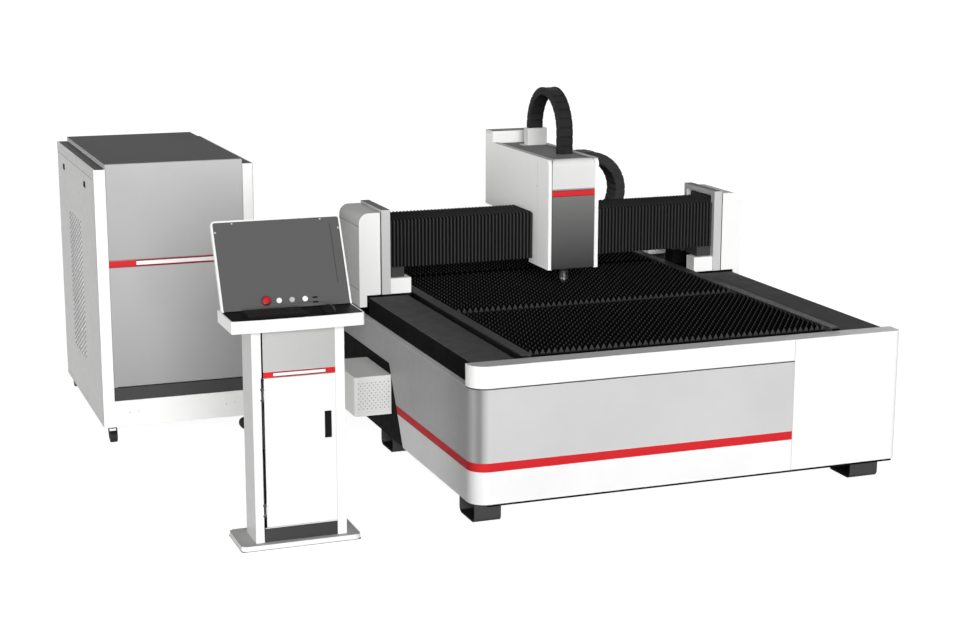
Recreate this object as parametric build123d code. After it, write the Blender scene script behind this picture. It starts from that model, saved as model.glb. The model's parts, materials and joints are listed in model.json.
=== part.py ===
"""Fiber laser cutting machine: flat bed with a moving gantry, operator console and laser cabinet.

Millimetres. X runs across the bed, Y along it from the operator's end, Z up from the floor.
The origin is the middle of the bed's foot anchor holes, at floor level.
"""
from build123d import *
from math import cos, pi, radians, sin
import os

# General clearances and sheet
seat = 0.3
sheet = 3.0

# Bed: overall and the heights of its painted bands
bed_width = 2300.0
bed_length = 4100.0
foot_height = 97.0
skirt_top = 256.0
stripe_top = 299.0
panel_top = 656.0
cap_bottom = 659.0
cap_top = 766.0
cap_depth = 105.0
corner_radius = 88.0
right_corner_radius = 30.0
split_x = 545.0
split_gap = 0.5

# Slanted end of the left-hand skins, above the side vent
cut_y = -778.0
cut_z = 500.0
cut_slope = 0.552

# Feet and floor anchors
foot_left_x = (-1130.0, -995.0)
foot_right_x = (910.0, 1070.0)
foot_length = 207.0
end_foot_inset = 35.0
mid_foot_y = -771.0
foot_plate = 9.0
foot_bend = 30.0
anchor_x = 1025.0
anchor_end_inset = 140.0
anchor_mid_y = 668.0
anchor_radius = 11.0

# Welded frame
frame_wall = 10.0
side_beam_width = 260.0
side_beam_top = 654.0
end_beam_depth = 98.0
end_beam_half = 1055.0
cross_width = 80.0
table_seat = 660.0
upper_cross_height = 120.0
lower_cross_height = 120.0
lower_cross_end = 750.0
lower_cross_middle = 450.0

# Cutting table and slats
table_half = 813.0
table_front_inset = 120.0
cassette_length = 1000.0
cassettes = 3
table_top = 780.0
table_plate = 8.0
table_flange = 51.0
table_ledge = 48.0
table_bar_top = 748.0
slat_thickness = 4.0
slat_valley = 758.0
slat_tip = 788.0
slat_teeth = 22
slats_per_cassette = 14
slat_spacing = 70.0

# Scrap trays
tray_half = 850.0
tray_height = 210.0
tray_gap = 50.0

# Way covers, rails and racks along the bed
way_x = 1002.0
way_width = 228.0
way_top = 760.0
way_wall = 4.0
way_edge_radius = 6.0
y_rail_width = 34.0
y_rail_height = 30.0
y_rack_offset = 62.0
y_rack_size = 24.0

# Side vent box
vent_reach = 200.0
vent_y = (-800.0, -370.0)
vent_z = (229.0, 441.0)
vent_wall = 2.0
vent_radius = 20.0
vent_columns = 8
vent_rows = 6
vent_hole = 9.0
vent_pitch = 20.0

# Gantry
gantry_y = (-320.0, 70.0)
plate_inner = 989.5
plate_thickness = 50.0
plate_cover_gap = 7.0
plate_bottom = 771.0
plate_top = 1240.0
pocket_depth = 34.0
pocket_y = (-275.0, 36.0)
pocket_z = (800.0, 1212.0)
saddle_thickness = 40.0
saddle_x = (871.0, 1116.0)
bearing_length = 100.0
bearing_width = 100.0
block_x = (870.0, 989.2)
block_height = 86.0
block_length = 100.0
block_inset = 5.0
bracket_width = 88.0
beam_y = (-210.0, -30.0)
beam_z = (943.0, 1143.0)
beam_wall = 10.0
beam_flange = 12.0
x_rail_size = (20.0, 18.0)
x_rail_z = (970.0, 1116.0)
x_rack_z = 1045.0
x_rack_height = 22.0
x_rail_half = 960.0
cover_reach = 1167.0
cover_top = 1226.0
cover_radius = 55.0
cover_step_x = 1125.0
cover_drop = 707.0
cover_inset = 5.0
cover_wall = 4.0
motor_y = -130.0
motor_radius = 42.0
gearbox_size = (60.0, 120.0, 129.0)
motor_top = 1120.0

# Bellows over the beam
bellows_y = (-300.0, 0.0)
bellows_z = (915.0, 1181.0)
bellows_wall = 8.0
bellows_pleat_depth = 7.0
bellows_pleat_pitch = 36.0

# Energy chains
chain_pitch = 62.0
chain_gap = 6.0
chain_relief = 3.0
x_chain_outer = 231.0
x_chain_thickness = 60.0
x_chain_centre = (349.0, 1226.0)
x_chain_y = (30.0, 165.0)
x_chain_fixed_x = -640.0
z_chain_outer = 245.0
z_chain_thickness = 45.0
z_chain_x = (27.0, 113.0)
z_chain_y = -20.0
z_chain_centre_z = 1603.0
tray_wall = 3.0
tray_lip = 36.0

# Cutting head carriage
head_x = (-140.0, 160.0)
head_front_y = -520.0
head_rear_y = 460.0
head_bottom = 883.0
head_top_z = 1497.0
head_leg_y = -235.0
head_rear_leg_y = 6.0
head_over_beam = 1176.0
head_rear_bottom = 1120.0
lip_y = 340.0
lip_top = 1545.0
head_radius = 35.0
pan_rim = 22.0
pan_wall = 4.0
head_sheet = 3.0
head_recess = 4.0
front_bend = 40.0
front_panel_end = -470.0
window_y = (22.0, 177.0)
window_top = 1490.0
bracket_x = (16.0, 136.0)
bracket_y = (173.0, 235.0)
bracket_foot = 30.0
carriage_x = (-115.0, 135.0)
carriage_y = (-290.0, -270.0)
carriage_z = (935.0, 1400.0)
bridge_z = (1182.0, 1194.0)
bridge_rear_y = 10.0
z_guide_x = (-70.0, 90.0)
z_guide_width = 20.0
z_guide_depth = 20.0
z_plate_x = (-90.0, 110.0)
z_plate_z = (960.0, 1330.0)
z_plate_thickness = 20.0
z_block_z = (1020.0, 1240.0)
z_block_half = 30.0
arm_thickness = 12.0
arm_top = 1345.0
torch_x = -20.0
torch_y = -460.0
torch_body = 90.0
torch_body_z = (980.0, 1240.0)
nozzle_seat = 820.0
nozzle_tip = 798.0
collar_radius = 25.0
nozzle_grip = 20.0
z_motor_x = (-110.0, -30.0)
z_motor_y = (-262.0, -182.0)
z_motor_top = 1440.0

# Operator console
console_x = -1968.0
base_size = (561.0, 270.0, 25.0)
base_y = -1900.0
column_x = (-2177.0, -1750.0)
column_y = (-2000.0, -1820.0)
door_opening_x = (-2134.0, -1793.0)
door_opening_z = (93.0, 790.0)
door_depth = 18.0
door_wall = 2.0
hinge_x = -2129.0
hinge_radius = 4.0
hinge_pin = 2.0
hinge_z = (175.0, 715.0)
screen_width = 604.0
desk_width = 608.0
desk_x = -1972.0
desk_y = (-2068.0, -1783.0)
desk_z = (1013.0, 1070.0)
desk_radius = 14.0
desk_bow = 10.0
inlay_depth = 2.0
inlay_margin = 6.0
screen_lean = 26.4
screen_y = -1850.0
screen_height = 426.6
screen_depth = 60.0
screen_pan_depth = 26.0
screen_back_inset = 55.0
screen_rim = 8.0
screen_radius = 18.0
screen_back = 4.0
bezel_thickness = 5.5
control_up = 36.0
stop_x = -2066.0
button_x = (-2004.0, -1944.0, -1883.0)
button_radius = 12.5
button_clearance = 0.08
stop_head_radius = 22.0
stop_stem_radius = 10.0
stop_travel = 5.0
keyboard_x = (-2190.0, -1925.0)
keyboard_y = (-2022.0, -1897.0)
mouse_place = (-1810.0, -1968.0)
mouse_size = (60.0, 102.0, 30.0)
mouse_edge = 9.0
computer_x = (-2100.0, -1860.0)
computer_y = (-1950.0, -1835.0)
computer_height = 390.0

# Recessed lift handles: dish, paddle and their pin
pin_radius = 2.5
pin_clearance = 0.06
dish_wall = 3.0
paddle_gap = 1.5

# Laser cabinet
cabinet_x = (-2540.0, -1681.0)
cabinet_y = (-60.0, 1300.0)
cabinet_bottom = 89.0
cabinet_height = 1494.0
cabinet_lid = 1520.0
cabinet_wall = 3.0
post_width = 61.0
post_radius = 12.0
rail_top = 233.0
kick_top = 311.0
band_z = (967.0, 1004.0)
panel_depth = 18.0
panel_gap = 2.0
side_panel_y = (-30.0, 1270.0)
side_panel_z = (120.0, 1440.0)
perforation_y = (463.0, 887.0)
perforation_z = (360.0, 1140.0)
perforation_columns = 5
perforation_rows = 13
perforation_hole = 18.0
lock_y = (282.0, 1053.0)
lock_z = 1374.0
source_size = (560.0, 800.0, 600.0)
fan_radius = 60.0

# Casters
caster_inset = 51.0
caster_trail = 22.0
wheel_radius = 31.0
wheel_width = 38.0
wheel_clearance = 0.6
axle_radius = 4.0
stem_radius = 6.0
bearing_clearance = 0.06
mount_plate = 4.0
fork_thickness = 3.0
fork_top = 10.0

# Derived places
half_width = bed_width / 2
half_length = bed_length / 2
end_foot_y = -half_length + end_foot_inset
anchor_end_y = half_length - anchor_end_inset
table_front_y = -half_length + table_front_inset
frame_side = half_width - sheet - seat
frame_end = half_length - sheet - seat
side_beam_inner = frame_side - side_beam_width
front_cap_rear = -half_length + cap_depth
table_rear_y = table_front_y + cassettes * cassette_length
beam_centre_y = sum(beam_y) / 2
screen_plane = Plane(
    origin=(console_x, screen_y, desk_z[1]),
    x_dir=(1, 0, 0),
    z_dir=(0, -cos(radians(screen_lean)), sin(radians(screen_lean))),
)


def block(x, y, z):
    """Box between the low and high limits of each axis."""
    centre = [(low + high) / 2 for low, high in (x, y, z)]
    size = [abs(high - low) for low, high in (x, y, z)]
    return Pos(*centre) * Box(*size)


def group(*shapes):
    """Separate solids kept side by side."""
    return Compound([solid for shape in shapes for solid in shape.solids()])


def mirrored(shape):
    """Copy on the other side of the bed's centre plane."""
    return mirror(shape, about=Plane.YZ)


def pair(shape):
    return group(shape, mirrored(shape))


def along_x(outline, x):
    """Extrude a Y-Z outline between two X limits."""
    return Pos(x[0], 0, 0) * extrude(Plane.YZ * outline, x[1] - x[0])


def along_y(outline, y):
    """Extrude an X-Z outline between two Y limits."""
    return Pos(0, y[1], 0) * extrude(Plane.XZ * outline, y[1] - y[0])


def along_z(outline, z):
    """Extrude an X-Y outline between two Z limits."""
    return Pos(0, 0, z[0]) * extrude(outline, z[1] - z[0])


def polygon(*points):
    return make_face(Polyline(*points, close=True))


def zigzag(start, end, low, high, pitch):
    """Edge points of equal pleats from start to end, swinging between two depths."""
    count = max(2, round(abs(end - start) / pitch))
    step = (end - start) / count
    points = []
    for i in range(count):
        points += [(start + i * step, low), (start + (i + 0.5) * step, high)]
    return points + [(end, low)]


def corner_nearest(outline, point):
    return outline.vertices().sort_by_distance(Vector(*point))[0]


def rounded_corner(outline, point, radius):
    return fillet(corner_nearest(outline, point), radius)


# Bed

def foot(x, y0, anchor):
    """Bent channel foot, open towards the sides, with its anchor hole in the bottom plate."""
    middle = y0 + foot_length / 2
    outer = Pos(middle, foot_height / 2) * Rectangle(foot_length, foot_height)
    outer = fillet(outer.vertices().group_by(Axis.Y)[0], foot_bend)
    inner_height = foot_height - foot_plate
    inner_size = (foot_length - 2 * foot_plate, inner_height)
    inner = Pos(middle, foot_plate + inner_height / 2) * Rectangle(*inner_size)
    inner = fillet(inner.vertices().group_by(Axis.Y)[0], foot_bend - foot_plate)
    hole = Pos(*anchor, foot_plate / 2) * Cylinder(anchor_radius, 2 * foot_plate)
    return along_x(outer - inner, x) - hole


def make_feet():
    feet = []
    for y0, hole_y in ((end_foot_y, -anchor_end_y), (mid_foot_y, -anchor_mid_y)):
        for x, side in ((foot_left_x, -1), (foot_right_x, 1)):
            near = foot(x, y0, (side * anchor_x, hole_y))
            feet += [near, mirror(near, about=Plane.XZ)]
    return group(*feet)


def channel(x, y, z):
    """Cross member: a channel with its open side down."""
    inner_y = (y[0] + frame_wall, y[1] - frame_wall)
    inner_z = (z[0] - 1, z[1] - frame_wall)
    return block(x, y, z) - block((x[0] - 1, x[1] + 1), inner_y, inner_z)


def tube_y(x, y, z, wall):
    """Rectangular tube along Y with open ends."""
    return block(x, y, z) - block(
        (x[0] + wall, x[1] - wall), (y[0] - 1, y[1] + 1), (z[0] + wall, z[1] - wall)
    )


def tube_x(x, y, z, wall):
    """Rectangular tube along X with open ends."""
    return block(x, y, z) - block(
        (x[0] - 1, x[1] + 1), (y[0] + wall, y[1] - wall), (z[0] + wall, z[1] - wall)
    )


def upper_cross_places():
    """Front edges of the cross members under the table's cassette joints."""
    places = []
    for i in range(cassettes + 1):
        joint = table_front_y + i * cassette_length
        places.append(joint - cross_width / 2)
    places[0] = table_front_y - 10
    return places


def make_bed_frame():
    inner = end_beam_depth / 2
    side_y = (-frame_end + end_beam_depth - inner / 4, frame_end - end_beam_depth + inner / 4)
    side = tube_y((-frame_side, -side_beam_inner), side_y, (foot_height, side_beam_top), frame_wall)
    end_z = (foot_height, cap_top - sheet - seat)
    front = tube_x(
        (-end_beam_half, end_beam_half), (-frame_end, -frame_end + end_beam_depth), end_z, frame_wall
    )
    frame = side + mirrored(side) + front + mirror(front, about=Plane.XZ)
    span = (-side_beam_inner - 1, side_beam_inner + 1)
    for y0 in upper_cross_places():
        frame += channel(span, (y0, y0 + cross_width), (table_seat - upper_cross_height, table_seat))
    far = half_length - lower_cross_end
    for middle in (-far, -lower_cross_middle, lower_cross_middle, far):
        y = (middle - cross_width / 2, middle + cross_width / 2)
        frame += channel(span, y, (foot_height, foot_height + lower_cross_height))
    return frame


def corner_skin(x_end, y_end, z):
    """Sheet that runs along the front, round the left corner and back along the left side."""
    far_x = x_end + 2 * corner_radius
    far_y = y_end + 2 * corner_radius
    outer = polygon((-half_width, -half_length), (far_x, -half_length), (far_x, far_y),
                    (-half_width, far_y))
    outer = rounded_corner(outer, (-half_width, -half_length, 0), corner_radius)
    inner = polygon(
        (-half_width + sheet, -half_length + sheet), (far_x + 9, -half_length + sheet),
        (far_x + 9, far_y + 9), (-half_width + sheet, far_y + 9),
    )
    inner = rounded_corner(inner, (-half_width + sheet, -half_length + sheet, 0), corner_radius - sheet)
    keep = polygon((-half_width - 9, -half_length - 9), (x_end, -half_length - 9),
                   (x_end, y_end), (-half_width - 9, y_end))
    return along_z((outer - inner) & keep, z)


def slanted_notch():
    """Everything behind the slanted cut and below the upper band of the left side."""
    drop = cut_z + 9
    points = ((cut_y, cut_z), (half_length + 9, cut_z), (half_length + 9, -9),
              (cut_y - drop * cut_slope, -9))
    return along_x(polygon(*points), (-half_width - 9, -half_width + corner_radius))


def left_skin(z):
    return corner_skin(split_x, half_length - sheet, z) - slanted_notch()


def cap_shell(outline, inner, opening, z):
    return along_z(outline, z) - along_z(inner, (z[0] - 1, z[1] - sheet)) - opening


def front_cap():
    """Folded cover over the front cross beam, rounded at its left corner."""
    x = (-half_width, split_x - split_gap)
    y = (-half_length, front_cap_rear)
    outer = polygon((x[0], y[0]), (x[1], y[0]), (x[1], y[1]), (x[0], y[1]))
    outer = rounded_corner(outer, (x[0], y[0], 0), corner_radius)
    inner = offset(outer, -sheet, kind=Kind.INTERSECTION)
    open_end = block((x[1] - 2 * sheet, x[1] + 1), (y[0] + sheet, y[1] - sheet),
                     (cap_bottom - 1, cap_top - sheet))
    return cap_shell(outer, inner, open_end, (cap_bottom, cap_top))


def rear_cap():
    y = (half_length - cap_depth, half_length)
    outer = Pos(0, sum(y) / 2) * Rectangle(bed_width, cap_depth)
    outer = fillet(outer.vertices().group_by(Axis.Y)[-1], right_corner_radius)
    inner = offset(outer, -sheet, kind=Kind.INTERSECTION)
    return along_z(outer, (cap_bottom, cap_top)) - along_z(inner, (cap_bottom - 1, cap_top - sheet))


def make_front_right_panel():
    """Plain cover over the right end of the front, the height of the bed."""
    x = (split_x, half_width)
    y = (-half_length, front_cap_rear)
    outer = polygon((x[0], y[0]), (x[1], y[0]), (x[1], y[1]), (x[0], y[1]))
    outer = rounded_corner(outer, (x[1], y[0], 0), right_corner_radius)
    inner = offset(outer, -sheet, kind=Kind.INTERSECTION)
    left_end = block((x[0] - 1, x[0] + 2 * sheet), (y[0] + sheet, y[1] - sheet),
                     (foot_height - 1, cap_top - sheet))
    below_cap = block((x[0] - 1, x[1] - sheet), (y[1] - 2 * sheet, y[1] + 1), (foot_height - 1, panel_top))
    return cap_shell(outer, inner, left_end + below_cap, (foot_height, cap_top))


def make_side_panels():
    z = (foot_height, panel_top)
    right = block((half_width - sheet, half_width), (front_cap_rear + seat, half_length - sheet - seat), z)
    rear = block((-half_width, half_width), (half_length - sheet, half_length), z)
    return group(right, rear)


def make_vent_box():
    """Rounded louvre box on the left side, perforated at the front."""
    x = (-half_width + sheet - vent_reach, -half_width + sheet)
    outline = Pos(sum(x) / 2, sum(vent_y) / 2) * Rectangle(vent_reach, vent_y[1] - vent_y[0])
    outline = fillet(outline.vertices().group_by(Axis.X)[0], vent_radius)
    inner = offset(outline, -vent_wall, kind=Kind.INTERSECTION)
    box = along_z(outline, vent_z) - along_z(inner, (vent_z[0] + vent_wall, vent_z[1] - vent_wall))
    box -= block((x[1] - 2 * vent_wall, x[1] + 1), (vent_y[0] + vent_wall, vent_y[1] - vent_wall),
                 (vent_z[0] + vent_wall, vent_z[1] - vent_wall))
    middle_z = sum(vent_z) / 2
    middle_x = sum(x) / 2
    for i in range(vent_columns):
        for j in range(vent_rows):
            across = middle_x + (i - (vent_columns - 1) / 2) * vent_pitch
            up = middle_z + (j - (vent_rows - 1) / 2) * vent_pitch
            hole = Pos(across, vent_y[0], up) * Rot(0, 45, 0) * Box(vent_hole, 3 * vent_wall, vent_hole)
            box -= hole
    return box


def make_table_frame():
    """Side rails with a top flange and a slat ledge, joined by bars at the cassette ends."""
    web = table_half + table_plate
    rail = polygon(
        (-table_half - table_flange, table_top - table_plate), (-table_half - table_flange, table_top),
        (-table_half, table_top), (-table_half, table_seat + table_plate),
        (-table_half + table_ledge, table_seat + table_plate), (-table_half + table_ledge, table_seat),
        (-web, table_seat), (-web, table_top - table_plate),
    )
    rail = along_y(rail, (table_front_y, table_rear_y))
    frame = rail + mirrored(rail)
    for i in range(cassettes + 1):
        joint = table_front_y + i * cassette_length
        shift = {0: table_plate / 2, cassettes: -table_plate / 2}.get(i, 0)
        y = (joint + shift - table_plate / 2, joint + shift + table_plate / 2)
        frame += block((-table_half - 1, table_half + 1), y, (table_seat, table_bar_top))
    return frame


def slat():
    """One saw-toothed support slat, standing on the table's ledges."""
    half = table_half - seat
    teeth = zigzag(half, -half, slat_valley, slat_tip, 2 * half / slat_teeth)
    outline = polygon((-half, table_seat + table_plate), (half, table_seat + table_plate), *teeth)
    return along_y(outline, (-slat_thickness / 2, slat_thickness / 2))


def make_slats():
    row = slat()
    slats = []
    margin = (cassette_length - (slats_per_cassette - 1) * slat_spacing) / 2
    for i in range(cassettes):
        start = table_front_y + i * cassette_length + margin
        slats += [Pos(0, start + j * slat_spacing, 0) * row for j in range(slats_per_cassette)]
    return group(*slats)


def make_scrap_trays():
    """Open sheet trays on the lower cross members, one under each slat cassette."""
    floor = foot_height + lower_cross_height
    trays = []
    for i in range(cassettes):
        start = table_front_y + i * cassette_length
        y = (start + tray_gap, start + cassette_length - tray_gap)
        outer = block((-tray_half, tray_half), y, (floor, floor + tray_height))
        inner = block(
            (-tray_half + sheet, tray_half - sheet), (y[0] + sheet, y[1] - sheet),
            (floor + sheet, floor + tray_height + 1),
        )
        trays.append(outer - inner)
    return group(*trays)


def make_y_rails():
    """Guide rails and drive racks on the side beams."""
    half = half_length - cap_depth - 4 * sheet
    rail = block((-way_x - y_rail_width / 2, -way_x + y_rail_width / 2), (-half, half),
                 (side_beam_top, side_beam_top + y_rail_height))
    rack_x = -way_x + y_rack_offset
    rack = block((rack_x - y_rack_size / 2, rack_x + y_rack_size / 2), (-half, half),
                 (side_beam_top, side_beam_top + y_rack_size))
    return group(pair(rail), pair(rack))


def way_cover(y):
    """Smooth fabric cover over one stretch of rail, with rounded top edges, open below."""
    height = way_top - side_beam_top
    outer = Pos(-way_x, side_beam_top + height / 2) * Rectangle(way_width, height)
    outer = fillet(outer.vertices().group_by(Axis.Y)[-1], way_edge_radius)
    inner = Pos(-way_x, side_beam_top + (height - way_wall) / 2 - 1) * Rectangle(
        way_width - 2 * way_wall, height - way_wall + 2)
    return along_y(outer, y) - along_y(inner, (y[0] - 1, y[1] + 1))


def make_way_covers():
    front = way_cover((front_cap_rear + seat, gantry_y[0] - seat))
    rear = way_cover((gantry_y[1] + seat, half_length - cap_depth - seat))
    return group(pair(front), pair(rear))


# Gantry

def make_end_plates():
    """C-shaped end plates: the pocket on the inner side takes the beam's end."""
    plate = block((-plate_inner - plate_thickness, -plate_inner), gantry_y, (plate_bottom, plate_top))
    pocket = block((-plate_inner - pocket_depth, -plate_inner + 1), pocket_y, pocket_z)
    return pair(plate - pocket)


def make_gantry_saddles():
    """Saddle plates and the four bearing blocks that run on the bed's rails."""
    saddle = block((-saddle_x[1], -saddle_x[0]), gantry_y, (plate_bottom - saddle_thickness, plate_bottom))
    rail_top = side_beam_top + y_rail_height
    bearings = []
    for end in (gantry_y[0] + 20, gantry_y[1] - 20 - bearing_length):
        body = block((-way_x - bearing_width / 2, -way_x + bearing_width / 2), (end, end + bearing_length),
                     (side_beam_top + y_rail_height / 3, plate_bottom - saddle_thickness))
        slot = block((-way_x - y_rail_width / 2 - seat, -way_x + y_rail_width / 2 + seat),
                     (end - 1, end + bearing_length + 1), (side_beam_top, rail_top + seat))
        bearings.append(body - slot)
    return group(pair(saddle), *[pair(bearing) for bearing in bearings])


def block_ends():
    """Y limits of the front and rear pads beside each end plate."""
    front = gantry_y[0] + block_inset
    rear = gantry_y[1] - block_inset
    return (front, front + block_length), (rear - block_length, rear)


def make_slider_blocks():
    x, z = (-block_x[1], -block_x[0]), (plate_bottom, plate_bottom + block_height)
    return group(*[pair(block(x, y, z)) for y in block_ends()])


def make_gantry_beam():
    """Beam tube with end flanges and four legs, and the trough for the beam's energy chain."""
    reach = plate_inner + pocket_depth - seat
    beam = tube_x((-reach, reach), beam_y, beam_z, beam_wall)
    hollow = block((-reach - 1, reach + 1), (beam_y[0] + beam_wall, beam_y[1] - beam_wall),
                   (beam_z[0] + beam_wall, beam_z[1] - beam_wall))
    flange = block((-reach, -reach + beam_flange), (pocket_y[0] + 12, pocket_y[1] - 12),
                   (pocket_z[0] + 30, pocket_z[1] - 15))
    beam += (flange + mirrored(flange)) - hollow
    front, rear = block_ends()
    pad_top = plate_bottom + block_height
    legs = ((front[0] + 30, beam_y[0] + 60), (beam_y[1] - 60, rear[1] - 75))
    for y in legs:
        leg = block((-block_x[1], -block_x[1] + bracket_width), y, (pad_top, beam_z[0] + beam_wall / 2))
        beam += leg + mirrored(leg)
    return group(beam, chain_trough())


def chain_trough():
    floor = x_chain_centre[1] - x_chain_outer - seat
    x = (-plate_inner + seat, plate_inner - seat)
    y = (x_chain_y[0] - 2 * tray_wall, x_chain_y[1] + 2 * tray_wall)
    outer = block(x, y, (floor - tray_wall, floor + tray_lip))
    channel_y = (y[0] + tray_wall, y[1] - tray_wall)
    return outer - block((x[0] - 1, x[1] + 1), channel_y, (floor, floor + tray_lip + 1))


def make_x_rails():
    """Guide rails and rack on the front face of the beam."""
    height, depth = x_rail_size
    x = (-x_rail_half, x_rail_half)
    y = (beam_y[0] - depth, beam_y[0])
    rails = [block(x, y, (z - height / 2, z + height / 2)) for z in x_rail_z]
    rack = block(x, y, (x_rack_z - x_rack_height / 2, x_rack_z + x_rack_height / 2))
    return group(*rails, rack)


def make_gantry_covers():
    """White outer covers: rounded shoulder, and a skirt that hangs outside the rail cover."""
    bottom = plate_bottom + seat
    inner_x = -plate_inner - plate_thickness - plate_cover_gap
    y = (gantry_y[0] + cover_inset, gantry_y[1] - cover_inset)
    outline = polygon((inner_x, bottom), (-cover_step_x, bottom), (-cover_step_x, cover_drop),
                      (-cover_reach, cover_drop), (-cover_reach, cover_top), (inner_x, cover_top))
    outline = rounded_corner(outline, (-cover_reach, cover_top, 0), cover_radius)
    hollow = polygon((inner_x + 9, cover_drop - 9), (-cover_reach + cover_wall, cover_drop - 9),
                     (-cover_reach + cover_wall, cover_top - cover_wall),
                     (inner_x + 9, cover_top - cover_wall))
    hollow = rounded_corner(hollow, (-cover_reach + cover_wall, cover_top - cover_wall, 0),
                            cover_radius - cover_wall)
    return pair(along_y(outline, y) - along_y(hollow, (y[0] + cover_wall, y[1] - cover_wall)))


def make_gantry_motors():
    """Geared servo motors on the saddles, inside the outer covers."""
    width, depth, height = gearbox_size
    x1 = -plate_inner - plate_thickness - 2 * sheet
    foot_z = plate_bottom + height
    box = block((x1 - width, x1), (motor_y - depth / 2, motor_y + depth / 2), (plate_bottom, foot_z))
    middle = Pos(x1 - motor_radius, motor_y, (foot_z + motor_top) / 2)
    motor = middle * Cylinder(motor_radius, motor_top - foot_z)
    return pair(box + motor)


def bellows(x):
    """Pleated cover over the beam, folded on its top and both sides and open below."""
    y, z = bellows_y, bellows_z
    deep = bellows_pleat_depth
    top = polygon((x[0], z[0]), *zigzag(x[0], x[1], z[1] - deep, z[1], bellows_pleat_pitch), (x[1], z[0]))
    front = zigzag(x[0], x[1], y[0] + deep, y[0], bellows_pleat_pitch)
    rear = zigzag(x[1], x[0], y[1] - deep, y[1], bellows_pleat_pitch)
    folded = along_y(top, (y[0] - 1, y[1] + 1)) & along_z(polygon(*front, *rear), (z[0], z[1] + 1))
    inside = block((x[0] - 1, x[1] + 1), (y[0] + bellows_wall, y[1] - bellows_wall),
                   (z[0] - 1, z[1] - bellows_wall))
    return folded - inside


def make_beam_bellows():
    outer = plate_inner - seat
    return group(bellows((-outer, head_x[0] - seat)), bellows((head_x[1] + seat, outer)))


def energy_chain(upper_run, lower_run, width, outer, thickness):
    """Link chain in its own X-Z plane: the bend opens to -X, round the origin; width along +Y."""
    inner = outer - thickness
    middle = (outer + inner) / 2
    slim_outer, slim_inner = outer - chain_relief, inner + chain_relief
    right_half = Pos(outer, 0) * Rectangle(2 * outer, 2 * outer)
    bend = (Circle(slim_outer) - Circle(slim_inner)) & right_half
    slim = slim_outer - slim_inner
    runs = Pos(-upper_run / 2, middle) * Rectangle(upper_run, slim)
    runs += Pos(-lower_run / 2, -middle) * Rectangle(lower_run, slim)
    chain = along_y(bend + runs, (chain_relief, width - chain_relief))
    link = Pos(0, width / 2, 0) * Box(chain_pitch - chain_gap, width, thickness)
    for run, height in ((upper_run, middle), (lower_run, -middle)):
        for i in range(int(run // chain_pitch)):
            chain += Pos(-(i + 0.5) * chain_pitch, 0, height) * link
    turns = round(pi * middle / chain_pitch)
    arc_length = pi * inner / turns - chain_gap
    arc_link = Pos(0, width / 2, 0) * Box(arc_length, width, thickness - chain_relief)
    for i in range(turns):
        angle = 90 - (i + 0.5) * 180 / turns
        place = Pos(middle * cos(radians(angle)), 0, middle * sin(radians(angle)))
        chain += place * Rot(0, 90 - angle, 0) * arc_link
    return chain


def make_x_chain():
    """Chain along the beam, from the trough to the head."""
    centre_x, centre_z = x_chain_centre
    width = x_chain_y[1] - x_chain_y[0]
    upper_run = centre_x - (head_x[0] + pan_wall + seat)
    lower_run = centre_x - x_chain_fixed_x
    chain = energy_chain(upper_run, lower_run, width, x_chain_outer, x_chain_thickness)
    return Pos(centre_x, x_chain_y[0], centre_z) * chain


# Cutting head carriage

def head_side_outline():
    """Side view of the head cover, stepped over the beam."""
    outline = polygon(
        (head_front_y, head_bottom), (head_leg_y, head_bottom), (head_leg_y, head_over_beam),
        (head_rear_leg_y, head_over_beam), (head_rear_leg_y, head_rear_bottom),
        (head_rear_y, head_rear_bottom), (head_rear_y, lip_top), (lip_y, lip_top),
        (lip_y, head_top_z), (head_front_y, head_top_z),
    )
    return rounded_corner(outline, (head_front_y, head_top_z, 0), head_radius)


def make_head_cover():
    """Two folded side pans with a rear wall and a raised rear lip between them."""
    outline = head_side_outline()
    inner = offset(outline, -pan_wall, kind=Kind.INTERSECTION)
    left = along_x(outline, (head_x[0], head_x[0] + pan_rim))
    left -= along_x(inner, (head_x[0] + pan_wall, head_x[0] + pan_rim + 1))
    right = along_x(outline, (head_x[1] - pan_rim, head_x[1]))
    right -= along_x(inner, (head_x[1] - pan_rim - 1, head_x[1] - pan_wall))
    right -= block((head_x[1] - pan_rim - 1, head_x[1] + 1), window_y, (head_rear_bottom - 1, window_top))
    x = (head_x[0] + pan_rim / 2, head_x[1] - pan_rim / 2)
    rear = block(x, (head_rear_y - pan_wall, head_rear_y), (head_rear_bottom, lip_top))
    lip = block(x, (lip_y, head_rear_y), (lip_top - pan_wall, lip_top))
    step = block(x, (lip_y, lip_y + pan_wall), (head_top_z - pan_wall, lip_top))
    return left + right + rear + lip + step


def between_pans():
    return (head_x[0] + pan_rim + seat, head_x[1] - pan_rim - seat)


def make_head_front():
    """Front cover: one sheet, bent back over the top edge."""
    y0 = head_front_y + head_recess
    top = head_top_z - head_sheet
    outline = polygon(
        (y0, head_bottom + head_sheet), (y0, top), (front_panel_end, top),
        (front_panel_end, top - head_sheet), (y0 + head_sheet, top - head_sheet),
        (y0 + head_sheet, head_bottom + head_sheet),
    )
    outline = rounded_corner(outline, (y0, top, 0), front_bend)
    outline = rounded_corner(outline, (y0 + head_sheet, top - head_sheet, 0), front_bend - head_sheet)
    return along_x(outline, between_pans())


def make_head_top():
    """Top plate with the slot that the Z chain passes through."""
    top = head_top_z - head_recess
    plate = block(between_pans(), (front_panel_end + seat, lip_y - seat), (top - head_sheet, top))
    front_leg = z_chain_y - z_chain_outer
    slot_y = (front_leg - 10, front_leg + z_chain_thickness + 10)
    slot = block((z_chain_x[0] - 6, z_chain_x[1] + 6), slot_y, (top - 9, top + 9))
    return plate - slot


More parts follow.
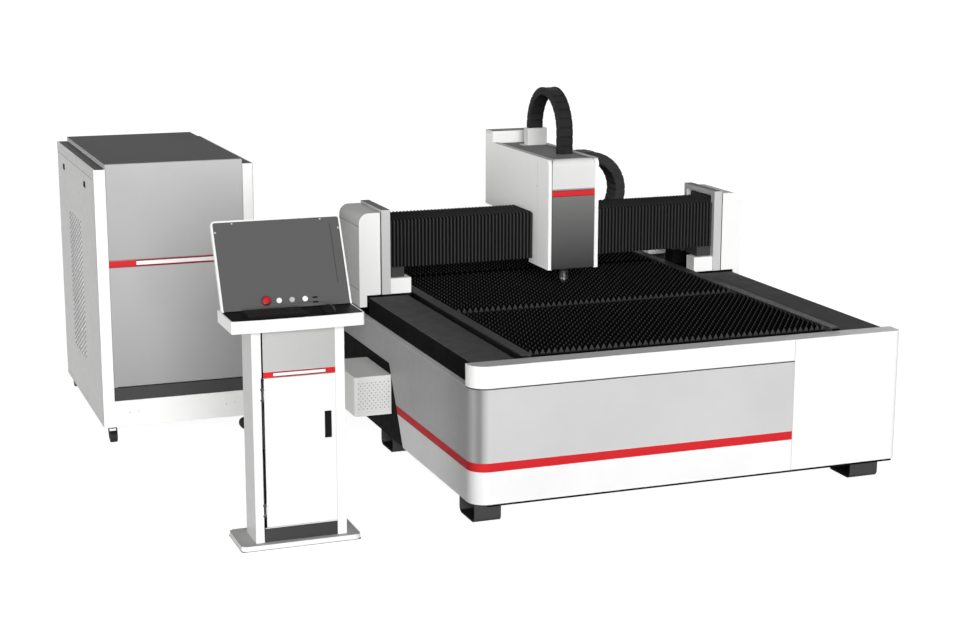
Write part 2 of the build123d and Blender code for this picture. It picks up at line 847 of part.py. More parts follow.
def make_chain_bracket():
    """Bent bracket on the top plate, with a foot flange, that holds the fixed end of the Z chain."""
    z = (head_top_z - head_recess, z_chain_centre_z - 11)
    box = block(bracket_x, bracket_y, z)
    hollow_x = (bracket_x[0] + pan_wall, bracket_x[1] - pan_wall)
    hollow = block(hollow_x, (bracket_y[0] + pan_wall, bracket_y[1] + 1), (z[0] - 1, z[1] - pan_wall))
    foot = block((bracket_x[0] - bracket_foot, bracket_x[0] + 1), (bracket_y[0] + 6, bracket_y[1] - 6),
                 (z[0], z[0] + pan_wall))
    return box - hollow + foot


def make_z_chain():
    width = z_chain_x[1] - z_chain_x[0]
    upper_run = z_chain_centre_z - arm_top - seat
    chain = energy_chain(upper_run, 11 - seat, width, z_chain_outer, z_chain_thickness)
    plane = Plane(origin=(z_chain_x[1], z_chain_y, z_chain_centre_z), x_dir=(0, 0, 1), z_dir=(0, -1, 0))
    return plane.location * chain


def make_carriage_plate():
    """Carriage: front plate with Z guides, four bearing blocks and a bridge over the beam."""
    slot = block((z_chain_x[0] - 6, z_chain_x[1] + 6), (carriage_y[0] - 1, carriage_y[1] + 1),
                 (arm_top - 3 * arm_thickness, carriage_z[1] + 1))
    plate = block(carriage_x, carriage_y, carriage_z) - slot
    for middle in z_guide_x:
        x = (middle - z_guide_width / 2, middle + z_guide_width / 2)
        top = arm_top - 3 * arm_thickness if middle > z_chain_x[0] else carriage_z[1]
        plate += block(x, (carriage_y[0] - z_guide_depth, carriage_y[0]), (carriage_z[0] + 10, top))
    bridge_x = (head_x[0] + pan_wall + seat, head_x[1] - pan_wall - seat)
    plate += block(bridge_x, (carriage_y[1] - 5, bridge_rear_y), bridge_z)
    height, depth = x_rail_size
    bearings = []
    for x0 in (carriage_x[0] + 10, carriage_x[1] - 90):
        for z in x_rail_z:
            body = block((x0, x0 + 80), (carriage_y[1], beam_y[0] - 4), (z - 25, z + 25))
            slot = block((x0 - 1, x0 + 81), (beam_y[0] - depth - seat, beam_y[0]),
                         (z - height / 2 - seat, z + height / 2 + seat))
            bearings.append(body - slot)
    return group(plate, *bearings)


def make_z_motor():
    """Servo motor of the height axis, standing on the bridge."""
    x, y = z_motor_x, z_motor_y
    middle = (sum(x) / 2, sum(y) / 2)
    base = bridge_z[1]
    body = Pos(*middle, (base + z_motor_top) / 2) * Box(x[1] - x[0], y[1] - y[0], z_motor_top - base)
    body = fillet(body.edges().filter_by(Axis.Z), 10)
    return body + Pos(*middle, z_motor_top + 10) * Cylinder(30, 20)


def make_z_slide():
    """Height slide: plate with guide shoes, torch clamps and the chain's arm."""
    y1 = carriage_y[0] - z_guide_depth - 5
    y = (y1 - z_plate_thickness, y1)
    slide = block(z_plate_x, y, z_plate_z)
    for middle in z_guide_x:
        for z in z_block_z:
            shoe = block((middle - 20, middle + 20), (y1 - 1, carriage_y[0] - 3),
                         (z - z_block_half, z + z_block_half))
            way = block((middle - z_guide_width / 2 - seat, middle + z_guide_width / 2 + seat),
                        (y1 + 5 - seat, carriage_y[0]), (z - 2 * z_block_half, z + 2 * z_block_half))
            slide += shoe - way
    arm_rear = z_chain_y - z_chain_outer + z_chain_thickness
    slide += block(z_chain_x, (y[0], arm_rear), (arm_top - arm_thickness, arm_top))
    slide += block(z_chain_x, y, (z_plate_z[1] - 5, arm_top))
    for z in z_block_z:
        slide += block((torch_x - 25, torch_x + 25), (torch_y + torch_body / 2, y[0] + 1), (z - 20, z + 20))
    return slide


def make_cutting_head():
    """Laser cutting head: collimator, square body, lens housing and the collar over the nozzle."""
    bottom, top = torch_body_z
    body = Pos(torch_x, torch_y, (bottom + top) / 2) * Box(torch_body, torch_body, top - bottom)
    body = fillet(body.edges().filter_by(Axis.Z), 12)
    turned = Polyline((0, nozzle_seat), (collar_radius, nozzle_seat), (collar_radius, nozzle_seat + 44),
                      (34, nozzle_seat + 70), (40, bottom), (35, bottom), (35, top + 80), (15, top + 90),
                      (15, top + 130), (0, top + 130), close=True)
    barrel = revolve(Plane.XZ * make_face(turned), Axis.Z)
    return body + Pos(torch_x, torch_y, 0) * barrel


def make_nozzle():
    """Screw-on cutting nozzle with its grip ring and conical tip."""
    turned = Polyline((1, nozzle_tip), (7, nozzle_tip), (nozzle_grip - 4, nozzle_seat - 11),
                      (nozzle_grip, nozzle_seat - 11), (nozzle_grip, nozzle_seat), (4, nozzle_seat),
                      close=True)
    return Pos(torch_x, torch_y, 0) * revolve(Plane.XZ * make_face(turned), Axis.Z)


# Recessed handle, used on the console door and the cabinet's side panel

def dish(length, width, depth):
    """Outer body and pocket of a handle dish: local Z points out, X along the pin, Y along the paddle."""
    body = Pos(0, 0, -depth / 2) * Box(width + 2 * dish_wall, length + 2 * dish_wall, depth)
    pocket = Pos(0, 0, (dish_wall - depth) / 2 + 1) * Box(width, length, depth - dish_wall + 2)
    pin = Pos(0, pin_up(length), pin_down()) * Rot(0, 90, 0) * Cylinder(
        pin_radius + pin_clearance, width + 2 * dish_wall + 2)
    return body, pocket + pin


def pin_up(length):
    return length / 2 - 2 * pin_radius - paddle_gap


def pin_down():
    return -2 * pin_radius


def paddle(length, width):
    """Lift handle with a rounded pivot end and its cross pin."""
    bar_width = width - 2 * paddle_gap
    low = -length / 2 + paddle_gap
    bar = Pos(0, (low + pin_up(length)) / 2, pin_down()) * Box(
        bar_width, pin_up(length) - low, 3.6 * pin_radius)
    pivot = Pos(0, pin_up(length), pin_down()) * Rot(0, 90, 0)
    knuckle = pivot * Cylinder(1.8 * pin_radius, bar_width)
    return bar + knuckle + pivot * Cylinder(pin_radius, width + 2 * dish_wall)


# Operator console

handle_length = 126.0
handle_width = 33.0
handle_depth = 15.0
handle_plane = Plane(origin=(-1830.0, column_y[0], 552.5), x_dir=(1, 0, 0), z_dir=(0, -1, 0))


def make_console_stand():
    """Base plate, folded column and the hinge lugs of its door."""
    width, depth, height = base_size
    stand = Pos(console_x + 147.5 - 150, base_y, 0) * extrude(RectangleRounded(width, depth, 30), height)
    z = (height, desk_z[1] - inlay_depth - sheet)
    column = block(column_x, column_y, z)
    column -= block((column_x[0] + sheet, column_x[1] - sheet),
                    (column_y[0] + sheet, column_y[1] - sheet), (z[0] - 1, z[1] + 1))
    column -= block(door_opening_x, (column_y[0] - 1, column_y[0] + sheet + 1), door_opening_z)
    stand += column
    for z in hinge_z:
        pin = Pos(hinge_x, column_y[0], z) * Cylinder(hinge_pin, 62)
        for end in (-25, 25):
            lug = Pos(hinge_x, column_y[0], z + end) * Cylinder(hinge_radius, 10)
            lug += block((door_opening_x[0] - 7, hinge_x), (column_y[0] - 3, column_y[0] + sheet),
                         (z + end - 5, z + end + 5))
            pin += lug
        stand += pin
    return stand


def make_console_door():
    """Folded door with hinge knuckles on its left and a handle dish on its right."""
    x = (hinge_x + 5, door_opening_x[1] - 1)
    y = (column_y[0], column_y[0] + door_depth)
    z = (door_opening_z[0] + 2, door_opening_z[1] - 2)
    door = block(x, y, z)
    door -= block((x[0] + door_wall, x[1] - door_wall), (y[0] + door_wall, y[1] + 1),
                  (z[0] + door_wall, z[1] - door_wall))
    for middle in hinge_z:
        leaf = block((hinge_x, x[0] + 9), (y[0] - 3, y[0] + door_wall / 2), (middle - 19, middle + 19))
        leaf += Pos(hinge_x, y[0], middle) * Cylinder(hinge_radius, 38)
        door += leaf - Pos(hinge_x, y[0], middle) * Cylinder(hinge_pin + bearing_clearance, 40)
    body, pocket = dish(handle_length, handle_width, handle_depth)
    return door + handle_plane.location * body - handle_plane.location * pocket


def make_door_handle():
    return handle_plane.location * paddle(handle_length, handle_width)


def desk_outline(inset):
    """Desk plan: bowed front edge and rounded front corners."""
    low, high = desk_x - desk_width / 2 + inset, desk_x + desk_width / 2 - inset
    front, rear = desk_y[0] + desk_bow + inset, desk_y[1] - inset
    bow = ThreePointArc((low, front), (desk_x, front - desk_bow), (high, front))
    sides = Polyline((high, front), (high, rear), (low, rear), (low, front))
    outline = make_face([bow, sides])
    corners = outline.vertices().group_by(Axis.Y)[0]
    return fillet(corners, desk_radius - inset / 2)


def make_console_desk():
    """Desk shell, open below, with a shallow recess for the dark work surface."""
    desk = along_z(desk_outline(0), desk_z)
    desk -= along_z(desk_outline(sheet), (desk_z[0] - 1, desk_z[1] - inlay_depth - sheet))
    front_half = block((console_x - desk_width, console_x + desk_width), (desk_y[0] - 9, screen_y - 2),
                       (desk_z[1] - inlay_depth, desk_z[1] + 9))
    inlay = along_z(desk_outline(inlay_margin), (desk_z[1] - inlay_depth, desk_z[1] + 1))
    return desk - (inlay & front_half)


def below(height):
    """Everything under a level, round the console."""
    reach = 2 * screen_width
    return block((console_x - reach, console_x + reach), (screen_y - reach, screen_y + reach),
                 (height - reach, height))


def screen_outline(inset):
    width, height = screen_width - 2 * inset, screen_height - 2 * inset
    outline = Pos(0, screen_height / 2) * Rectangle(width, height)
    return fillet(outline.vertices().group_by(Axis.Y)[-1], max(screen_radius - inset, 6))


def screen_slab(inset, low, high):
    """Slab of the screen's outline between two depths behind its face."""
    return Pos(0, 0, low) * extrude(screen_outline(inset), high - low)


def make_screen_housing():
    """Leaning pan that stands on the desk, with a smaller box on its back for the electronics."""
    body = screen_slab(0, -screen_pan_depth, 0) + screen_slab(screen_back_inset, -screen_depth, -1)
    cavity = screen_slab(screen_rim, screen_back - screen_pan_depth, screen_back)
    cavity += screen_slab(screen_back_inset + screen_back, screen_back - screen_depth, 0)
    cavity = screen_plane.location * cavity - below(desk_z[1] + screen_back)
    return screen_plane.location * body - below(desk_z[1]) - cavity


def control_place(x, height):
    return screen_plane.location * Pos(x - console_x, control_up, height)


def make_screen_bezel():
    """Dark face plate of the screen, with holes and collars for the four controls."""
    bezel = Pos(0, 0, -bezel_thickness - 0.5) * extrude(screen_outline(screen_rim + seat), bezel_thickness)
    bezel = screen_plane.location * bezel
    for x in button_x:
        bezel += control_place(x, 0.5) * Cylinder(button_radius + 2.5, 3)
        bezel -= control_place(x, -3) * Cylinder(button_radius + button_clearance, 20)
    bezel += control_place(stop_x, 1.5) * Cylinder(stop_stem_radius + 5, 5)
    return bezel - control_place(stop_x, -3) * Cylinder(stop_stem_radius + button_clearance, 30)


def make_button(x):
    """Push button: a plain cap with a bevelled rim, proud of its collar."""
    cap = Cylinder(button_radius, 18)
    cap = chamfer(cap.edges().sort_by(Axis.Z)[-1], 1.5)
    return control_place(x, -1) * cap


def make_emergency_stop():
    """Mushroom head on a stem through the face plate."""
    head = stop_head_radius
    rise = 4 + stop_travel
    outline = Polyline((0, -12), (stop_stem_radius, -12), (stop_stem_radius, rise), (head - 3, rise),
                       (head, rise + 3), (head, rise + 9), (head - 6, rise + 14), (0, rise + 15),
                       close=True)
    return control_place(stop_x, 0) * revolve(Plane.XZ * make_face(outline), Axis.Z)


def desk_surface():
    return desk_z[1] - inlay_depth


def make_keyboard():
    """Slim keyboard: a wedge-shaped case with raised key rows."""
    floor = desk_surface()
    y0, y1 = keyboard_y
    case = along_x(polygon((y0, floor), (y1, floor), (y1, floor + 16), (y0, floor + 9)), keyboard_x)
    rows = 5
    step = (y1 - y0 - 16) / rows
    for i in range(rows):
        y = y0 + 8 + i * step
        top = floor + 9 + 7 * (y - y0) / (y1 - y0) + 4
        case += block((keyboard_x[0] + 8, keyboard_x[1] - 8), (y + 1.5, y + step - 1.5), (floor + 5, top))
    return case


def make_mouse():
    """Low mouse: a block with a wide chamfer round its top."""
    width, length, height = mouse_size
    shell = extrude(RectangleRounded(width, length, width / 2 - 1), height)
    shell = chamfer(shell.edges().group_by(Axis.Z)[-1], mouse_edge)
    return Pos(*mouse_place, desk_surface()) * shell


def make_console_computer():
    """Control computer on the column's floor."""
    floor = base_size[2]
    x, y, z = computer_x, computer_y, (floor, floor + computer_height)
    case = block(x, y, z)
    case = fillet(case.edges().filter_by(Axis.Z), 6)
    case -= block((x[0] + sheet, x[1] - sheet), (y[0] + sheet, y[1] - sheet), (z[0] + sheet, z[1] - sheet))
    for i in range(6):
        slot_z = floor + 60 + 20 * i
        case -= block((x[0] + 20, x[1] - 20), (y[0] - 1, y[0] + 2 * sheet), (slot_z, slot_z + 6))
    return case


# Laser cabinet

def cabinet_shell(inset):
    width = cabinet_x[1] - cabinet_x[0] - 2 * inset
    depth = cabinet_y[1] - cabinet_y[0] - 2 * inset
    outline = RectangleRounded(width, depth, post_radius - inset)
    return Pos(sum(cabinet_x) / 2, sum(cabinet_y) / 2) * outline


def front_opening():
    return (cabinet_x[0] + post_width, cabinet_x[1] - post_width)


def caster_places():
    """Stem centres: front left, front right, rear left, rear right."""
    x = (cabinet_x[0] + caster_inset, cabinet_x[1] - caster_inset)
    y = (cabinet_y[0] + caster_inset, cabinet_y[1] - caster_inset)
    return {"left": (x[0], y[0]), "right": (x[1], y[0]),
            "rear_left": (x[0], y[1]), "rear_right": (x[1], y[1])}


def make_cabinet_frame():
    """Folded frame: floor, posts, right wall, rear wall and roof deck, open at the front and left."""
    wall = cabinet_wall
    frame = along_z(cabinet_shell(0), (cabinet_bottom, cabinet_height))
    frame -= along_z(cabinet_shell(wall), (cabinet_bottom + 2 * wall, cabinet_height - wall))
    opening = front_opening()
    frame -= block(opening, (cabinet_y[0] - 1, cabinet_y[0] + 2 * wall), (rail_top, cabinet_height + 1))
    frame -= block(opening, (cabinet_y[0] - 1, cabinet_y[0] + panel_depth),
                   (cabinet_height - 2 * wall, cabinet_height + 1))
    frame -= block((cabinet_x[0] - 1, cabinet_x[0] + 2 * wall), side_panel_y, side_panel_z)
    back = cabinet_y[0] + panel_depth + seat
    for edge, inward in ((opening[0], 1), (opening[1], -1)):
        side = sorted((edge - inward * wall, edge))
        z = (rail_top - wall, cabinet_height - wall / 2)
        frame += block(side, (cabinet_y[0] + wall / 2, back + wall), z)
        lip = sorted((edge - inward * wall / 2, edge + inward * 20))
        frame += block(lip, (back, back + wall), z)
    stop = (cabinet_x[0] + wall + seat, cabinet_x[0] + 2 * wall + seat)
    for edge in side_panel_y:
        frame += block(stop, (edge - 20, edge + 20), (cabinet_bottom + wall, cabinet_height - wall / 2))
    for place in caster_places().values():
        frame += block((place[0] - 35, place[0] + 35), (place[1] - 35, place[1] + 35),
                       (cabinet_bottom - mount_plate, cabinet_bottom + wall))
    for key in ("left", "right"):
        hole = Pos(*caster_places()[key], cabinet_bottom) * Cylinder(stem_radius + bearing_clearance, 60)
        frame -= hole
    return frame


def make_cabinet_top():
    """Dark raised lid between the two cheeks."""
    x = front_opening()
    y = (cabinet_y[0] + panel_depth + seat, cabinet_y[1])
    lid = block(x, y, (cabinet_height, cabinet_lid))
    return lid - block((x[0] + sheet, x[1] - sheet), (y[0] + sheet, y[1] - sheet),
                       (cabinet_height - 1, cabinet_lid - sheet))


def folded_panel(x, y, z):
    inside = block((x[0] + sheet, x[1] - sheet), (y[0] + sheet, y[1] + 1), (z[0] + sheet, z[1] - sheet))
    return block(x, y, z) - inside


def make_cabinet_front():
    """Upper and lower front panels, the coloured band between them and the kick strip."""
    opening = front_opening()
    x = (opening[0] + panel_gap, opening[1] - panel_gap)
    y = (cabinet_y[0], cabinet_y[0] + panel_depth)
    upper = folded_panel(x, y, (band_z[1], cabinet_lid - 1))
    lower = folded_panel(x, y, (kick_top, band_z[0]))
    band = folded_panel(x, y, band_z)
    kick_z = (rail_top + seat, kick_top - 2 * sheet)
    kick = folded_panel((opening[0], opening[1]), (y[0] + sheet, y[1]), kick_z)
    return group(upper, band, lower, kick)


lock_length = 34.0
lock_width = 72.0
lock_depth = 15.0


def lock_plane(y):
    return Plane(origin=(cabinet_x[0], y, lock_z), x_dir=(0, -1, 0), z_dir=(-1, 0, 0))


def make_cabinet_side_panel():
    """Lift-off panel with a staggered field of vent holes and two latch dishes."""
    y = (side_panel_y[0] + panel_gap, side_panel_y[1] - panel_gap)
    z = (side_panel_z[0] + panel_gap, side_panel_z[1] - panel_gap)
    panel = block((cabinet_x[0], cabinet_x[0] + sheet), y, z)
    step_y = (perforation_y[1] - perforation_y[0]) / (perforation_columns - 1)
    step_z = (perforation_z[1] - perforation_z[0]) / (perforation_rows - 0.5)
    holes = []
    for i in range(perforation_columns):
        for j in range(perforation_rows):
            centre_z = perforation_z[0] + (j + 0.5 * (i % 2)) * step_z
            centre = (cabinet_x[0], perforation_y[0] + i * step_y, centre_z)
            holes.append(Pos(*centre) * Rot(45, 0, 0) * Box(4 * sheet, perforation_hole, perforation_hole))
    panel -= holes
    for lock in lock_y:
        body, pocket = dish(lock_length, lock_width, lock_depth)
        place = lock_plane(lock).location
        panel = panel + place * body - place * pocket
    return panel


def make_side_lock(y):
    return lock_plane(y).location * paddle(lock_length, lock_width)


def make_laser_source():
    """Laser source module on the cabinet floor, with two handles on its front plate."""
    width, depth, height = source_size
    middle = sum(cabinet_x) / 2
    floor = cabinet_bottom + 2 * cabinet_wall
    y0 = cabinet_y[0] + 180
    module = block((middle - width / 2, middle + width / 2), (y0, y0 + depth), (floor, floor + height))
    module -= block((middle - width / 2 + sheet, middle + width / 2 - sheet),
                    (y0 + sheet, y0 + depth - sheet), (floor + sheet, floor + height - sheet))
    for side in (-1, 1):
        fan = Pos(middle + side * width / 4, y0 + depth, floor + height / 2) * Rot(90, 0, 0)
        module -= fan * Cylinder(fan_radius, 4 * sheet)
    module += block((middle - width / 2 - 12, middle + width / 2 + 12), (y0 - 6, y0 + 1),
                    (floor + 40, floor + height - 40))
    for side in (-1, 1):
        x = middle + side * (width / 2 - 50)
        grip = block((x - 8, x + 8), (y0 - 46, y0 - 5), (floor + 200, floor + 400))
        module += grip - block((x - 9, x + 9), (y0 - 34, y0 - 6), (floor + 216, floor + 384))
    return module


def wheel_at(place, along):
    """Wheel with its bore; the axle runs along X or Y."""
    bore = Cylinder(axle_radius + bearing_clearance, wheel_width + 2)
    rims = Cylinder(wheel_radius, wheel_width).edges().filter_by(GeomType.CIRCLE)
    tyre = chamfer(rims, 3) - bore
    turn = Rot(0, 90, 0) if along == "x" else Rot(90, 0, 0)
    return Pos(*place, wheel_radius) * turn * tyre


def fork_at(place, trail, along, swivels):
    """Caster fork: top disc, two cheeks and the axle; a swivelling one has a stem."""
    top = cabinet_bottom - mount_plate - (seat if swivels else 0)
    disc_low = top - fork_top
    gap = wheel_width / 2 + wheel_clearance
    reach = gap + fork_thickness
    cheek = polygon((-20, disc_low + 4), (20, disc_low + 4), (caster_trail + 8, wheel_radius - 8),
                    (caster_trail - 8, wheel_radius - 8))
    fork = along_y(cheek, (gap, reach)) + along_y(cheek, (-reach, -gap))
    fork += Pos(0, 0, disc_low + fork_top / 2) * Cylinder(22, fork_top)
    fork += Pos(caster_trail, 0, wheel_radius) * Rot(90, 0, 0) * Cylinder(axle_radius, 2 * reach)
    if swivels:
        fork += Pos(0, 0, (disc_low + cabinet_bottom + cabinet_wall) / 2) * Cylinder(
            stem_radius, cabinet_bottom + cabinet_wall - disc_low)
    turn = {"-y": Rot(0, 0, -90), "-x": Rot(0, 0, 180), "y": Rot(0, 0, 90)}[trail]
    return Pos(*place, 0) * turn * fork


def make_casters():
    places = caster_places()
    left, right = places["left"], places["right"]
    rear_left, rear_right = places["rear_left"], places["rear_right"]
    trail = caster_trail
    return {
        "caster_fork_left": fork_at(left, "-y", "x", True),
        "caster_fork_right": fork_at(right, "-x", "y", True),
        "caster_wheel_left": wheel_at((left[0], left[1] - trail), "x"),
        "caster_wheel_right": wheel_at((right[0] - trail, right[1]), "y"),
        "rear_caster_brackets": group(fork_at(rear_left, "y", "x", False),
                                      fork_at(rear_right, "y", "x", False)),
        "rear_wheel_left": wheel_at((rear_left[0], rear_left[1] + trail), "x"),
        "rear_wheel_right": wheel_at((rear_right[0], rear_right[1] + trail), "x"),
    }


def make_parts():
    bed = {
        "bed_frame": make_bed_frame(),
        "feet": make_feet(),
        "y_rails": make_y_rails(),
        "table_frame": make_table_frame(),
        "slats": make_slats(),
        "scrap_trays": make_scrap_trays(),
        "end_caps": group(front_cap(), rear_cap()),
        "grey_panel": left_skin((stripe_top, panel_top)),
        "red_stripe": left_skin((skirt_top, stripe_top)),
        "lower_skirt": left_skin((foot_height, skirt_top)),
        "front_right_panel": make_front_right_panel(),
        "side_panels": make_side_panels(),
        "vent_box": make_vent_box(),
        "way_covers": make_way_covers(),
    }
    gantry = {
        "gantry_beam": make_gantry_beam(),
        "end_plates": make_end_plates(),
        "gantry_covers": make_gantry_covers(),
        "slider_blocks": make_slider_blocks(),
        "gantry_saddles": make_gantry_saddles(),
        "x_rails": make_x_rails(),
        "beam_bellows": make_beam_bellows(),
        "x_chain": make_x_chain(),
        "gantry_motors": make_gantry_motors(),
    }
    head = {
        "carriage_plate": make_carriage_plate(),
        "head_cover": make_head_cover(),
        "head_top": make_head_top(),
        "head_front": make_head_front(),
        "z_motor": make_z_motor(),
        "z_chain": make_z_chain(),
        "chain_bracket": make_chain_bracket(),
        "z_slide": make_z_slide(),
        "cutting_head": make_cutting_head(),
        "nozzle": make_nozzle(),
    }
    console = {
        "console_stand": make_console_stand(),
        "console_door": make_console_door(),
        "door_handle": make_door_handle(),
        "console_desk": make_console_desk(),
        "screen_housing": make_screen_housing(),
        "screen_bezel": make_screen_bezel(),
        "emergency_stop": make_emergency_stop(),
        "left_button": make_button(button_x[0]),
        "middle_button": make_button(button_x[1]),
        "right_button": make_button(button_x[2]),
        "keyboard": make_keyboard(),
        "mouse": make_mouse(),
        "console_computer": make_console_computer(),
    }
    cabinet = {
        "cabinet_frame": make_cabinet_frame(),
        "cabinet_top": make_cabinet_top(),
        "cabinet_front": make_cabinet_front(),
        "cabinet_side_panel": make_cabinet_side_panel(),
        "laser_source": make_laser_source(),
        "side_lock_front": make_side_lock(lock_y[0]),
        "side_lock_rear": make_side_lock(lock_y[1]),
    }
    return {**bed, **gantry, **head, **console, **cabinet, **make_casters()}


os.makedirs("parts", exist_ok=True)
for name, shape in make_parts().items():
    export_step(shape, f"parts/{name}.step")
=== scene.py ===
"""Looks of the fiber laser cutting machine: bed, gantry, cutting head, operator console and cabinet.

Metres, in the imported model's frame: X across the bed, Y along it from the operator's end, Z up.
"""
import json
import math

import bmesh
import bpy
import numpy as np
from mathutils import Matrix, Vector


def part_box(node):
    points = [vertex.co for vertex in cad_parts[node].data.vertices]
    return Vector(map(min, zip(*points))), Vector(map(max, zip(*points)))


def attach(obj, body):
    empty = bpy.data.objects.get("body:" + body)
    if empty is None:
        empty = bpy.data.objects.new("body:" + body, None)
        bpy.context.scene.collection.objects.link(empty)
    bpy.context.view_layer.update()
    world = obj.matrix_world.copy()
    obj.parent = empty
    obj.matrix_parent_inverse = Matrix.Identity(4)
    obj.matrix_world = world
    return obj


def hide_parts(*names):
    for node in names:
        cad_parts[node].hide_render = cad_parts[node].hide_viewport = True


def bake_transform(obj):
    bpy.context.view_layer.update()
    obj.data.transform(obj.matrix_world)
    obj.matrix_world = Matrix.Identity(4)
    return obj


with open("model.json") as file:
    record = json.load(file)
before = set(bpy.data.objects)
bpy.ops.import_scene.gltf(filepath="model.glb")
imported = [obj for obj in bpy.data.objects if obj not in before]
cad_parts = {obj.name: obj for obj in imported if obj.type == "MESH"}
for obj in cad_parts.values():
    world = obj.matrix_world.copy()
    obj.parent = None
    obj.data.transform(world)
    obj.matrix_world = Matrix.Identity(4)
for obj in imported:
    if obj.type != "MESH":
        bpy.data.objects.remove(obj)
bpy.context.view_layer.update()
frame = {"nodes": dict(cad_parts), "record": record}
nodes = frame["nodes"]

# Camera, from the photograph's edges
photo_width = 960
focal_pixels = 1837.5
camera_place = (-4.0077, -9.7555, 2.7926)
camera_turn = math.radians(20.57)
camera_pitch = math.radians(12.35)
camera_roll = math.radians(0.07)

# Light
world_level = 0.15
lamps = (("front_lamp", 3.95, (-0.26, -1.0, 0.17)), ("left_lamp", 1.6, (-1.0, 0.05, 0.08)),
         ("rear_lamp", 1.25, (0.75, 0.65, 0.12)))
lamp_spread = math.radians(35)
floor_glow = 0.93
floor_size = 160.0

# Thin strips laid on the parts, and the room between a stretched cover and the part it meets
strip_edge = 0.0002
strip_corner = 0.0004
fit = 0.0004

# Shaders: scale of the cloudy mottling, and the places of the mix node's colour sockets
cloud_scale = 2.3
mix_first, mix_second, mix_result = 6, 7, 2

# Slat table
cassette_length = 1.0
slats_each = 21
slat_step = 0.045
slat_thickness = 0.003
tooth_step = 0.032
tooth_depth = 0.030

# Bellows, rail covers and chains
pleat_step = 0.0206
pleat_depth = 0.011
bellows_wall = 0.003
bellows_corner = 0.016
cover_corner = 0.006
cover_width = 0.228
cover_wall = 0.004
cover_steps = 32
fold_shares = (0.0, 0.02, 0.08, 0.2, 0.4, 0.6, 0.8, 0.92, 0.98, 1.0)
link_rail = 0.010
link_corner = 0.003
link_recess = 0.0025
link_gap = 0.009
link_pin = 0.009
x_chain_bend = (0.349, 1.226)
x_chain_thickness = 0.060
x_chain_radius = 0.201
x_chain_link = 0.040
x_chain_clear = 0.0045
z_chain_bend = (-0.020, 1.603)
z_chain_thickness = 0.045
z_chain_radius = 0.2225
z_chain_link = 0.048

# Console
screen_lean = math.radians(26.4)
screen_foot = (-1.968, -1.850, 1.070)
screen_screws = ((-2.174, 0.411), (-1.761, 0.411), (-2.255, 0.372), (-1.681, 0.364))
display_edge_x = (-1.7190, -1.7175)
display_up = (0.100, 0.388)
screen_foot_up = (-0.0010, 0.0105)
port_x = -1.835
port_up = (0.041, 0.019)
port_size = (0.025, 0.0075)
fascia_x = (-2.1265, -1.7935)
fascia_gap_x = (-2.134, -2.1265)
hinge_gap_x = (-2.1375, -2.1331)
band_z = (0.791, 0.817)
fascia_z = (0.818, 1.012)
kick_z = (0.0255, 0.090)
fascia_face = -2.0
fascia_inset = 0.045
key_rows = 5
key_columns = 17
mat_x = (-1.912, -1.764)
mat_y = (-2.026, -1.872)
mat_thickness = 0.0008
desk_rim = 0.0062
desk_bow = 0.010
desk_corner = 0.011
desk_pocket = 0.0012
desk_pocket_end = 0.0022
desk_joint = 0.006
hinge_place = (-2.129, -2.000)
hinge_reach = 0.013
hinge_width = 0.0055

# Bed
# Grey panel, red stripe and skirt grow darker from the front round the left corner onto the side: painted shade. The
# grey panel also has a painted dark band and a painted highlight across the corner.
panel_shade_stops = ((-2.050, 0.60), (-2.0475, 0.49), (-2.0436, 0.39), (-2.037, 0.23), (-2.030, 0.23), (-2.012, 0.355),
               (-1.985, 0.32), (-1.700, 0.31))
stripe_shade_stops = ((-2.050, (0.64, 0.026, 0.032)), (-2.030, (0.58, 0.024, 0.030)), (-1.985, (0.42, 0.018, 0.022)),
                (-1.700, (0.40, 0.017, 0.021)))
skirt_shade_stops = ((-2.050, 0.88), (-2.040, 0.80), (-1.985, 0.58), (-1.700, 0.56))
bed_corner = 0.088
seam_width = 0.0026
# Black strip under the bed front's lower edge: painted shadow
shadow_strip_x = (-1.075, 1.130)
shadow_strip_height = 0.011
vent_plate_x = (-1.332, -1.156)
vent_plate_z = (0.262, 0.414)
vent_plate_holes = (15, 11)
vent_plate_hole = 0.0052
cap_gap_height = 0.0028
cap_gap_proud = 0.0005
cap_gap_end = -1.950
ledge_front = -1.950
ledge_rear = 2.040

# Gantry and head
cap_height = 0.018
rim_width = 0.036
step_shadow_width = 0.004
cover_seam_z = (1.154, 0.803)
rear_block_start = -0.1
pad_x = (0.870, 0.9892)
pad_y = (0.300, 0.400)
pad_height = 0.086
arm_start = 0.060
arm_thickness = 0.008
pan_seam_y = -0.357
pan_seam_z = (0.884, 1.478)
pan_hole = (-0.346, 1.332)

# Cabinet
vent_y = (0.463, 0.907)
vent_z = (0.350, 1.145)
vent_columns = 14
vent_rows = 28
vent_slot = (0.026, 0.0138)
vent_shadow = 0.004
panel_sheet = 0.003
lock_margin = 0.0016
lock_room = 0.004
vent_border = 0.02
cabinet_sill = 0.30
cabinet_band_z = (0.967, 1.004)
cabinet_inset_x = (-2.334, -1.887)
cheek_x = ((-2.532, -2.4795), (-1.7415, -1.689))
cheek_y = (-0.052, 1.292)
rail_screws = ((-2.400, 0.165), (-2.352, 0.171), (-1.868, 0.165), (-1.820, 0.171))


def corners(node):
    """Lowest and highest corner of a CAD node, as arrays."""
    low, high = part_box(node)
    return np.array(low), np.array(high)


# Mesh arrays: each shape is (points, faces), and faces may have any number of corners

def stacked(*parts):
    """Points from their coordinates, each an array or a number spread over the others."""
    return np.stack(np.broadcast_arrays(*parts), axis=-1)


def raised(outline, level):
    """Outline as a ring of points at one height."""
    return np.column_stack([outline, np.full(len(outline), level)])


